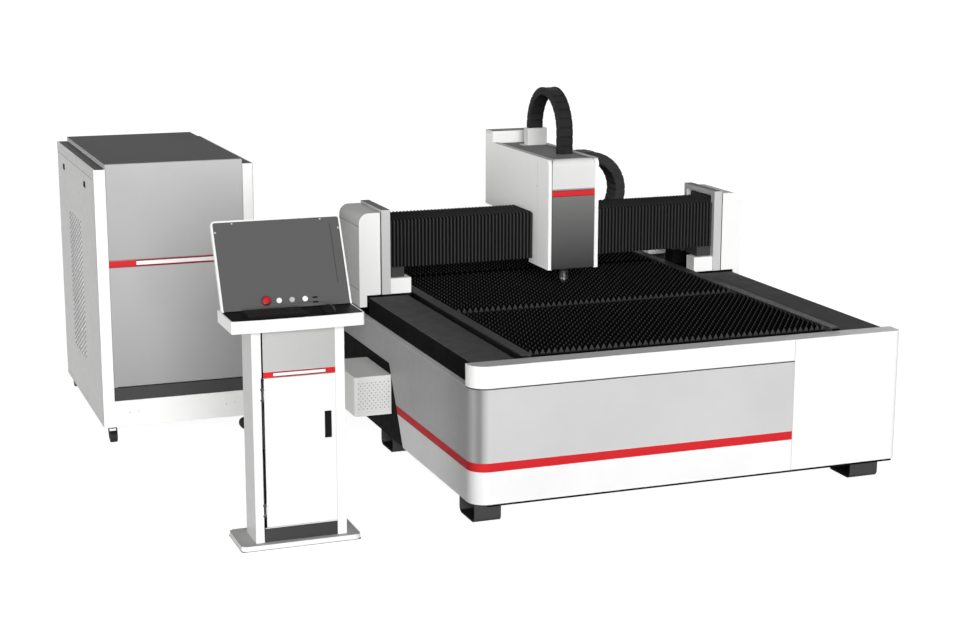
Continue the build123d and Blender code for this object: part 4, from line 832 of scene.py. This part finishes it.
def make_side_panel():
    """Left panel of the cabinet: staggered vent slots over a white sheet that shows through as painted highlight of
    the louvres, a black strip of painted shadow at one end of each column, and two latch openings with their dishes.
    """
    low, high = corners("cabinet_side_panel")
    left = low[0]
    latches = [corners(name) for name in ("side_lock_front", "side_lock_rear")]
    lock_z = (latches[0][0][2] - lock_margin, latches[0][1][2] + lock_room)
    locks = [((start[1] - lock_margin, lock_z[0]), (end[1] + lock_margin, lock_z[1])) for start, end in latches]
    slots = staggered((vent_y, vent_z), (vent_columns, 2 * vent_rows), vent_slot)
    sheet = pierced_sheet(low[1:], high[1:], np.concatenate([slots, locks]), left, left + panel_sheet)
    # The side panel in grey: painted shade
    panel = made("vented_side_panel", sheet, side_panel_shade_coat, "white_paint", ("cabinet_side_panel",))
    # Sheet between the vent slots in darker grey: painted shade
    two_tone(panel, vent_zone_shade_coat, lambda at, facing: (at[1] > vent_y[0]) & (at[1] < vent_y[1])
             & (at[2] > vent_z[0]) & (at[2] < vent_z[1]))
    dishes = [brick((left + 0.012, *start), (left + 0.015, *end)) for start, end in locks]
    made("lock_dishes", dishes, black_paint_and_shadow_coat, "dark_paint")
    # White sheet just behind the slots: painted highlight
    mat = brick((left + 0.0004, vent_y[0] - vent_border, vent_z[0] - vent_border),
                (left + panel_sheet + 0.0028, vent_y[1] + vent_border, vent_z[1] + vent_border))
    made("vent_highlight_sheet", mat, vent_highlight_mat, "white_paint")
    # Black strip at one end of each column of slots: painted shadow
    shadows = [brick((left + 0.0002, y, vent_z[0] - 0.01), (left + 0.001, y + vent_shadow, vent_z[1] + 0.01),
                     0.0001, 0.0003) for y in np.unique(slots[:, 0, 0])]
    made("vent_shadows", shadows, black_paint_and_shadow_coat, "dark_paint")


def make_band(name, x, z, frame_y, bar_y, bar_z, frame_corner, bar_corner):
    """White bar in a darker red frame, on a red band; the frame is painted shadow along the edges of the band's
    recess.
    """
    slab(name + "_frame", (x[0], frame_y[0], z[0] + 0.001), (x[1], frame_y[1], z[1] - 0.001),
         recess_shadow_red_coat, "red_paint", radius=frame_corner)
    slab(name + "_bar", (x[0] + 0.001, bar_y[0], bar_z[0]), (x[1] - 0.001, bar_y[1], bar_z[1]),
         white_coat, "white_paint", 0.0003, bar_corner)


def make_cabinet():
    make_side_panel()
    frame_piece = smoothed("cabinet_frame", white_coat, 0.0012)
    # Faces of the white frame that look to -X in grey: painted shade
    two_tone(frame_piece, frame_side_painted_shade, lambda at, facing: facing[0] < -0.9)
    # Front faces of the frame's bottom rail in pale grey: painted shade
    two_tone(frame_piece, white_shade_coat, lambda at, facing: (facing[1] < -0.9) & (at[2] < cabinet_sill))
    lid_top = corners("cabinet_top")[1][2]
    dark, grey, top_grey = 0.060, 0.335, 0.51
    lid_grey, side_grey = 0.20, 0.42
    # The lid is toned by height, its edges lighter than its top: painted light on the edges and painted shade on the
    # top
    lid_stops = ((1.40, side_grey), (lid_top - 0.0012, side_grey), (lid_top - 0.0008, lid_grey), (1.60, lid_grey))
    smoothed("cabinet_top", banded("cabinet_lid_painted_shade", lid_stops, 0.6, 0.0), 0.0015)
    # The darker red lines along the red band's edges are painted shadow of its recess
    stops = ((0.20, dark), (0.3085, dark), (0.3095, grey), (0.9660, 0.46), (0.9670, recess_shadow_red), (0.9690, recess_shadow_red),
             (0.9700, red), (1.0010, red), (1.0020, recess_shadow_red), (1.0040, recess_shadow_red), (1.0050, 0.41), (1.52, top_grey))
    smoothed("cabinet_front", banded("cabinet_front_coat", stops), 0.001)
    top = corners("cabinet_frame")[1][2]
    for name, x in (("left_cheek_top", cheek_x[0]), ("right_cheek_top", cheek_x[1])):
        slab(name, (x[0], cheek_y[0], top - 0.0002), (x[1], cheek_y[1], top + 0.0005),
             bracket_coat, "dark_paint", radius=0.003)
    face = corners("cabinet_front")[0][1]
    make_band("cabinet_band", cabinet_inset_x, cabinet_band_z, (face - 0.0004, face + 0.001),
              (face - 0.0012, face + 0.001), (cabinet_band_z[0] + 0.0085, cabinet_band_z[1] - 0.0075), 0.001, 0.002)
    screw = disc(0.005, 0.0012, 12)
    heads = [placed(screw, (x, face, z), (1, 0, 0), (0, 0, 1), (0, -1, 0)) for x, z in rail_screws]
    made("rail_screws", heads, zinc, "zinc")
    panel_low, panel_high = corners("cabinet_side_panel")
    gap_top = panel_high[2] + 0.005
    seams = (((panel_low[1] - 0.0008, panel_high[2]), (panel_high[1] + 0.0008, gap_top)),
             ((panel_low[1] - 0.0045, panel_low[2]), (panel_low[1], gap_top)))
    shapes = [brick((panel_low[0] + 0.0001, *start), (panel_low[0] + 0.002, *end), strip_edge, strip_corner)
              for start, end in seams]
    made("side_panel_gap", shapes, black_paint_and_shadow_coat, "dark_paint")
    dress(black_paint_and_shadow_coat, "side_lock_front", "side_lock_rear")
    dress(plate_coat, "laser_source")
    for bracket in ("caster_fork_left", "caster_fork_right", "rear_caster_brackets"):
        smoothed(bracket, black_plastic)
    for wheel in ("caster_wheel_left", "caster_wheel_right", "rear_wheel_left", "rear_wheel_right"):
        smoothed(wheel, tyre_rubber)


# Operator console

def on_screen(x, up, out=0.0):
    """Point of the leaning screen face: its foot, plus up along the slope and out along the normal."""
    return np.array([x, screen_foot[1] + up * math.sin(screen_lean) - out * math.cos(screen_lean),
                     screen_foot[2] + up * math.cos(screen_lean) + out * math.sin(screen_lean)])


screen_axes = ((1, 0, 0), (0, math.sin(screen_lean), math.cos(screen_lean)),
               (0, -math.cos(screen_lean), math.sin(screen_lean)))


def screen_plate(name, x, up, thickness, radius, finish, slot, out=-0.0005):
    """Flat plate on the screen face, between two x and two distances up the slope."""
    outline = rounded_rectangle(x[1] - x[0], up[1] - up[0], radius)
    shape = plate(outline, 0.0, thickness, 0.0003)
    centre = on_screen((x[0] + x[1]) / 2, (up[0] + up[1]) / 2, out)
    return made(name, placed(shape, centre, *screen_axes), finish, slot)


def make_keyboard():
    """Keyboard: a wedge-shaped case and rows of keys, each a block that narrows towards its top."""
    low, high = corners("keyboard")
    rise, border = (0.010, 0.015), 0.006
    outline = np.array([(low[1], low[2]), (high[1], low[2]), (high[1], low[2] + rise[1]), (low[1], low[2] + rise[0])])
    rings = [np.column_stack([np.full(4, x), shrunk(outline, inset)]) for x, inset in
             ((low[0], 0.001), (low[0] + 0.001, 0.0), (high[0] - 0.001, 0.0), (high[0], 0.001))]
    counts = np.array([key_columns, key_rows])
    step = ((high - low)[:2] - 2 * border) / counts
    base = rounded_rectangle(*(step - 0.0016), 0.0012, 1)
    key = tube([raised(base * share, z) for share, z in ((1.0, -0.004), (1.0, 0.0012), (0.84, 0.0035))])
    x, y = (low[:2] + border + (np.array(list(np.ndindex(*counts))) + 0.5) * step).T
    z = low[2] + rise[0] + (rise[1] - rise[0]) * (y - low[1]) / (high[1] - low[1])
    made("keyboard_case", tube(rings), black_plastic, "black_plastic", ("keyboard",))
    made("keyboard_keys", repeated(key, np.column_stack([x, y, z])), key_plastic, "black_plastic")


def make_mouse():
    low, high = corners("mouse")
    middle = (low + high) / 2
    desk = low[2] + mat_thickness
    radii = np.array([(high[0] - low[0]) / 2, (high[1] - low[1]) / 2, high[2] - desk])
    body = ball((middle[0], middle[1], desk), radii, 18, 32, desk)
    wheel = ball((middle[0], middle[1] - 0.022, desk + radii[2] * 0.88), (0.003, 0.009, 0.004))
    made("mouse_shell", [body, wheel], black_plastic, "black_plastic", ("mouse",))
    slab("mouse_mat", (mat_x[0], mat_y[0], low[2]), (mat_x[1], mat_y[1], low[2] + mat_thickness),
         mat_cloth, "cover_fabric", radius=0.006)


def bowed_outline(margin, steps=6):
    """Front part of the desk inset by a margin: y = front + bow·u² for u from −1 to 1 across, with round corners."""
    low, high = corners("console_desk")
    angle = np.linspace(0, math.pi / 2, steps)
    left = low[0] + margin + desk_corner * (1 - np.cos(angle))
    right = (low[0] + high[0] - left)[::-1]
    middle = np.linspace(left[-1], right[0], 24)[1:-1]
    x = np.concatenate([left, middle, right])
    lift = desk_corner * (1 - np.sin(angle))
    lift = np.concatenate([lift, np.zeros(len(middle)), lift[::-1]])
    u = (2 * x - low[0] - high[0]) / (high[0] - low[0])
    front = stacked(x, low[1] + margin + desk_bow * u**2 + lift)
    rear = screen_foot[1] - desk_pocket_end
    return np.concatenate([front, [(right[-1], rear), (left[0], rear)]])


def make_console():
    stand = smoothed("console_stand", white_coat, 0.0012)
    # Faces of the white stand that look to -X in grey: painted shade
    two_tone(stand, pillar_side_shade_coat, lambda at, facing: facing[0] < -0.9)
    # Top faces of the white base in grey: painted shade
    two_tone(stand, top_shade_coat, lambda at, facing: (facing[2] > 0.9) & (at[2] < kick_z[0] + 0.001))
    two_tone(stand, line_coat, lambda at, facing: (np.abs(at[0] - hinge_place[0]) < hinge_reach)
             & (at[1] < hinge_place[1] - 0.0004) & (at[2] > kick_z[1]) & (at[2] < fascia_z[0]))
    # Thin mid-grey band just round the stand's foot: painted contact shadow
    low, high = (corner[:2] for corner in corners("console_stand"))
    outline = (low + high) / 2 + rounded_rectangle(*(high - low) + 0.001, 0.0145)
    made("base_contact_shadow", plate(outline, 0.0, 0.003, 0.0003), mid_grey_and_shadow_coat, "dark_paint")
    door = smoothed("console_door", white_coat, 0.0006)
    two_tone(door, line_coat, lambda at, facing: at[0] < hinge_place[0] + hinge_width)
    dress(black_plastic, "door_handle")
    dress(kick_coat, "console_computer")
    smoothed("console_desk", white_coat, 0.002)
    smoothed("screen_housing", white_coat, 0.001)
    smoothed("screen_bezel", screen_coat)
    desk_top = corners("console_desk")[1][2]
    pocket = desk_top - desk_pocket
    inlay = plate(bowed_outline(desk_rim), pocket - 0.0004, pocket + 0.0004, 0.0002)
    made("desk_inlay", inlay, desk_laminate, "black_plastic")
    left, right = (corner[0] for corner in corners("screen_bezel"))
    slab("screen_joint", (left, screen_foot[1] - desk_joint, pocket),
         (right, screen_foot[1] + 0.001, desk_top + 0.0016), desk_laminate, "black_plastic")
    screen_plate("screen_foot", (left, right), screen_foot_up, 0.0012, 0.0005, screen_coat, "bezel_plastic")
    screen_plate("display_edge", display_edge_x, display_up, 0.0008, 0.0005, black_paint_and_shadow_coat, "bezel_plastic")
    for i, up in enumerate(port_up):
        port = (port_x - port_size[0] / 2, port_x + port_size[0] / 2), (up - port_size[1] / 2, up + port_size[1] / 2)
        screen_plate(f"port_{i + 1}", *port, 0.0012, 0.0025, black_plastic, "black_plastic")
    screw = disc(0.0045, 0.0016, 12)
    heads = [placed(screw, on_screen(x, up, -0.0006), *screen_axes) for x, up in screen_screws]
    made("screen_screws", heads, zinc, "zinc")
    stop = smoothed("emergency_stop", red_plastic)
    # Sides of the stop button in dark red: painted shade
    outward = np.array(screen_axes[2])
    two_tone(stop, red_plastic_side_shade, lambda at, facing: outward @ facing < 0.85)
    for node, finish in (("left_button", white_plastic), ("middle_button", grey_plastic),
                         ("right_button", white_plastic)):
        smoothed(node, finish)
    front = fascia_face
    trims = (
        ("fascia_panel", fascia_x, fascia_z, 0.0016, fascia_coat, "grey_paint"),
        ("hinge_gap", hinge_gap_x, (kick_z[0], band_z[0]), 0.0008, black_paint_and_shadow_coat, "dark_paint"),
        ("fascia_band", fascia_x, band_z, 0.0018, red_coat, "red_paint"),
        ("fascia_gap", fascia_gap_x, (band_z[0], fascia_z[1]), 0.0008, black_paint_and_shadow_coat, "dark_paint"),
        ("kick_plate", (fascia_gap_x[0], fascia_x[1]), kick_z, 0.0012, kick_coat, "dark_paint"),
    )
    for name, x, z, proud, finish, slot in trims:
        slab(name, (x[0], front - proud, z[0]), (x[1], front + 0.0005, z[1]), finish, slot)
    make_band("fascia_band", (fascia_x[0] + fascia_inset, fascia_x[1] - fascia_inset), band_z,
              (front - 0.0022, front), (front - 0.003, front), (band_z[0] + 0.0065, band_z[1] - 0.006), 0.0008, 0.001)
    make_keyboard()
    make_mouse()


# Bed and gantry

def make_cap_gap():
    """Dark joint under the front cap: a thin strip along the front, round the left corner and back along the side."""
    low, high = corners("grey_panel")
    turn = np.linspace(0, math.pi / 2, 12)
    centre = low[:2] + bed_corner
    arc = centre - bed_corner * stacked(np.sin(turn), np.cos(turn))
    path = np.concatenate([[(high[0], low[1])], arc, [(low[0], cap_gap_end)]])
    outward = np.concatenate([[(0.0, -1.0)], (arc - centre) / bed_corner, [(-1.0, 0.0)]])
    foot, top = high[2] - cap_gap_height, high[2]
    sides = path[:, None] + cap_gap_proud * np.array([1, 1, -1, -1])[:, None] * outward[:, None]
    made("cap_gap", tube(stacked(sides[..., 0], sides[..., 1], (foot, top, top, foot))), line_coat, "dark_paint")


def make_vent_plate():
    """Thin sheet over the front of the vent box, pierced by staggered square holes over a black backing."""
    front = corners("vent_box")[0][1]
    (x0, x1), (z0, z1) = vent_plate_x, vent_plate_z
    holes = staggered((vent_plate_x, vent_plate_z), vent_plate_holes, vent_plate_hole)
    points, faces = pierced_sheet((x0, z0), (x1, z1), holes, 0.0, 0.0012)
    sheet = points[:, [1, 0, 2]] + (0, front - 0.0012, 0)
    # Vent plate in pale grey like the vent box: painted shade
    made("vent_plate", (sheet, [face[::-1] for face in faces]), white_shade_coat, "white_paint")
    slab("vent_backing", (x0 + 0.001, front - 0.0003, z0 + 0.001), (x1 - 0.001, front + 0.0008, z1 - 0.001),
         kick_coat, "dark_paint", 0.0001)


def make_bed():
    # Upward faces of the white end caps and front right panel in grey: painted shade
    for node in ("end_caps", "front_right_panel"):
        two_tone(smoothed(node, white_coat, 0.0012), top_shade_coat, lambda at, facing: facing[2] > 0.9)
    # Colour by Y: painted shade round the left corner and on the side, with a painted highlight on the grey panel's
    # corner
    for node, *looks in (("grey_panel", "grey_panel_coat", panel_shade_stops, 0.33, 0.05),
                         ("red_stripe", "red_stripe_coat", stripe_shade_stops, 0.4, 0.02),
                         ("lower_skirt", "skirt_coat", skirt_shade_stops, 0.4, 0.03)):
        smoothed(node, banded(*looks, "Y"))
    panel_low, panel_high = corners("grey_panel")
    slab("side_ledge", (panel_low[0] + 0.0005, ledge_front, panel_high[2] - 0.001),
         (corners("way_covers")[0][0] + 0.002, ledge_rear, panel_high[2] + 0.0006), ledge_coat, "grey_paint")
    make_cap_gap()
    smoothed("side_panels", white_coat)
    # Vent box in pale grey: painted shade
    smoothed("vent_box", white_shade_coat)
    make_vent_plate()
    cap_low, cap_high = corners("end_caps")
    front, split, foot = cap_low[1], corners("front_right_panel")[0][0], corners("lower_skirt")[0][2]
    slab("front_seam", (split - seam_width, front - 0.0006, foot), (split, front + 0.001, cap_high[2]),
         side_shade_and_seam_coat, "grey_paint")
    # Black strip under the skirt's front edge: painted shadow
    slab("front_shadow_strip", (shadow_strip_x[0], front + 0.004, foot - shadow_strip_height), (shadow_strip_x[1], front + 0.030, foot - 0.0002),
         black_paint_and_shadow_coat, "dark_paint", 0.0004, 0.002)
    dress(black_paint_and_shadow_coat, "bed_frame")
    # Front faces of the feet in the lighter copy: painted light
    two_tone(smoothed("feet", foot_coat, 0.001), foot_front_light_coat, lambda at, facing: facing[1] < -0.7)
    dress(ground_steel, "y_rails")
    dress(zinc, "scrap_trays")


def make_cover_seams():
    """Two level seams on the outer side of each gantry cover, from behind its rounded front edge to its rear."""
    low, high = corners("gantry_covers")
    seams = [brick((x, low[1] + 0.004, z - 0.0013), (x + 0.001, high[1] - 0.001, z + 0.0013), strip_edge, 0.0003)
             for z in cover_seam_z for x in (low[0] - 0.0004, high[0] - 0.0006)]
    made("cover_seams", seams, line_coat, "dark_paint", body="gantry")


def make_rear_pads():
    """Pads behind the gantry, each on a flat arm that runs back from the saddle just above the rail cover."""
    floor = corners("slider_blocks")[0][2]
    sides = (pad_x, (-pad_x[1], -pad_x[0]))
    pads = [brick((x[0], pad_y[0], floor), (x[1], pad_y[1], floor + pad_height), 0.0015, 0.003) for x in sides]
    arms = [brick((x[0], arm_start, floor - arm_thickness), (x[1], pad_y[1], floor - 0.0002), 0.001, 0.003)
            for x in sides]
    made("rear_pads", pads, white_coat, "white_paint", body="gantry")
    made("rear_pad_arms", arms, black_paint_and_shadow_coat, "dark_paint", body="gantry")


def make_gantry():
    dress(bracket_coat, "gantry_beam")
    end_plates = smoothed("end_plates", plate_coat, 0.002)
    plate_top = corners("end_plates")[1][2]
    # Top faces of the end plates in dark grey: painted shade
    two_tone(end_plates, plate_top_shade_coat, lambda at, facing: at[2] > plate_top - 0.001)
    covers = smoothed("gantry_covers", white_coat, 0.0012)
    # Faces of the white covers that do not look front or back, in grey: painted shade
    two_tone(covers, side_shade_and_seam_coat, lambda at, facing: np.abs(facing[1]) < 0.5)
    make_cover_seams()
    # Rear slider blocks in black: painted shade in the space under the beam
    two_tone(smoothed("slider_blocks", white_coat, 0.0015), black_paint_and_shadow_coat, lambda at, facing: at[1] > rear_block_start)
    make_rear_pads()
    dress(black_paint_and_shadow_coat, "gantry_saddles")
    dress(ground_steel, "x_rails")
    dress(black_plastic, "gantry_motors")


def make_head():
    cover = smoothed("head_cover", white_coat, 0.0008)
    # Front faces of the raised rear lip in pale grey: painted shade
    two_tone(cover, white_shade_coat, lambda at, facing: (facing[1] < -0.9) & (at[1] > 0))
    low, high = corners("head_cover")
    shapes = []
    for x, turn in ((low[0], -1), (high[0], 1)):
        shapes.append(brick((x - 0.0004, pan_seam_y - 0.0007, pan_seam_z[0]),
                            (x + 0.0004, pan_seam_y + 0.0007, pan_seam_z[1]), strip_edge, 0.0002))
        shapes.append(placed(disc(0.004, 0.0006, 12), (x, *pan_hole), (0, turn, 0), (0, 0, 1), (turn, 0, 0)))
    made("pan_seams", shapes, side_shade_and_seam_coat, "grey_paint", body="carriage")
    front_low, front_high = corners("head_front")
    step_y, rim_top = corners("head_top")[1][1], front_high[2] + 0.003
    # Grey strips on the white pan's top rims: painted shade
    rims = [brick((x, low[1] + 0.002, rim_top), (x + rim_width, step_y, rim_top + 0.0008), strip_edge, 0.003)
            for x in (low[0] + 0.0008, high[0] - rim_width - 0.0008)]
    made("pan_rims", rims, rim_top_shade_coat, "grey_paint", body="carriage")
    # Dark strip along the left edge of the recessed head front: painted shadow of the rim's step
    slab("front_step_shadow", (front_low[0] - step_shadow_width, low[1] - 0.0003, front_low[2]),
         (front_low[0], low[1] + 0.002, front_high[2]), line_coat, "dark_paint", body="carriage")
    # Rear cap with a pale grey front: painted shade
    cap = slab("rear_cap", (low[0], step_y + 0.0006, high[2] - 0.0004), (high[0], high[1], high[2] + cap_height),
               white_shade_coat, "white_paint", 0.001, 0.004, "carriage")
    two_tone(cap, kick_coat, lambda at, facing: facing[2] > 0.9)
    smoothed("head_top", mid_grey_and_shadow_coat, 0.0006)
    smoothed("chain_bracket", silver_coat, 0.001)
    line, deep = 0.30, (0.22, 0.010, 0.012)
    stops = ((0.883, 0.040), (1.289, (0.175, 0.175, 0.173)), (1.2895, deep), (1.2925, deep),
             (1.2945, red), (1.3200, red), (1.3215, deep), (1.3240, deep), (1.3255, line), (1.332, line),
             (1.334, (0.70, 0.70, 0.69)), (1.497, (0.72, 0.72, 0.71)))
    smoothed("head_front", banded("head_front_coat", stops))
    dress(turned_aluminium, "carriage_plate", "z_slide")
    smoothed("z_motor", black_plastic)
    smoothed("cutting_head", turned_aluminium)
    smoothed("nozzle", turned_steel)


# Studio

def make_camera():
    """Camera at the photograph's place: turned from +Y towards +X, pitched down, then rolled."""
    turn, pitch = camera_turn, camera_pitch
    forward = Vector((math.sin(turn) * math.cos(pitch), math.cos(turn) * math.cos(pitch), -math.sin(pitch)))
    right = Vector((math.cos(turn), -math.sin(turn), 0))
    up = right.cross(forward)
    right, up = (right * math.cos(camera_roll) + up * math.sin(camera_roll),
                 up * math.cos(camera_roll) - right * math.sin(camera_roll))
    data = bpy.data.cameras.new("photo_camera")
    data.sensor_width = 36.0
    data.lens = focal_pixels * data.sensor_width / photo_width
    data.clip_end = 400
    camera = linked("photo_camera", data)
    camera.matrix_world = Matrix((
        (right.x, up.x, -forward.x, camera_place[0]),
        (right.y, up.y, -forward.y, camera_place[1]),
        (right.z, up.z, -forward.z, camera_place[2]),
        (0, 0, 0, 1),
    ))
    bpy.context.scene.camera = camera


def sun(name, level, towards, angle):
    data = bpy.data.lights.new(name, "SUN")
    data.energy = level
    data.angle = angle
    linked(name, data).rotation_euler = Vector(towards).to_track_quat("Z", "Y").to_euler()


def seen_directly(tree):
    """1 for camera, mirror and glass rays, 0 for the rays that light the object."""
    rays = add(tree, "LightPath").outputs
    direct = rays["Is Camera Ray"]
    for kind in ("Is Glossy Ray", "Is Transmission Ray"):
        direct = add(tree, "Math", {0: direct, 1: rays[kind]}, operation="MAXIMUM").outputs[0]
    return direct


def make_studio():
    world = bpy.data.worlds.new("white_studio")
    bpy.context.scene.world = world
    world.use_nodes = True
    tree = world.node_tree
    level = spread(tree, seen_directly(tree), world_level, 1.0, 0.0, 1.0)
    feed(tree, tree.nodes["Background"], {"Color": (1, 1, 1, 1), "Strength": level})
    for name, strength, towards in lamps:
        sun(name, strength, towards, lamp_spread)
    material, tree, shader, _ = blank("white_floor")
    glow = add(tree, "Math", {0: seen_directly(tree), 1: floor_glow}, operation="MULTIPLY").outputs[0]
    feed(tree, shader, {"Base Color": (0.30, 0.30, 0.30, 1), "Roughness": 0.9, "Emission Color": (1, 1, 1, 1),
                        "Emission Strength": glow, "Specular IOR Level": 0.0})
    reach = floor_size / 2
    mesh = bpy.data.meshes.new("floor")
    square = [(-reach, -reach, 0), (reach, -reach, 0), (reach, reach, 0), (-reach, reach, 0)]
    mesh.from_pydata(square, [], [(0, 1, 2, 3)])
    mesh.materials.append(material)
    floor = linked("floor", mesh)


bpy.context.scene.view_settings.view_transform = "Standard"
make_camera()
make_studio()
make_bed()
make_table()
make_covers()
make_gantry()
make_head()
make_x_chain()
make_z_chain()
make_console()
make_cabinet()
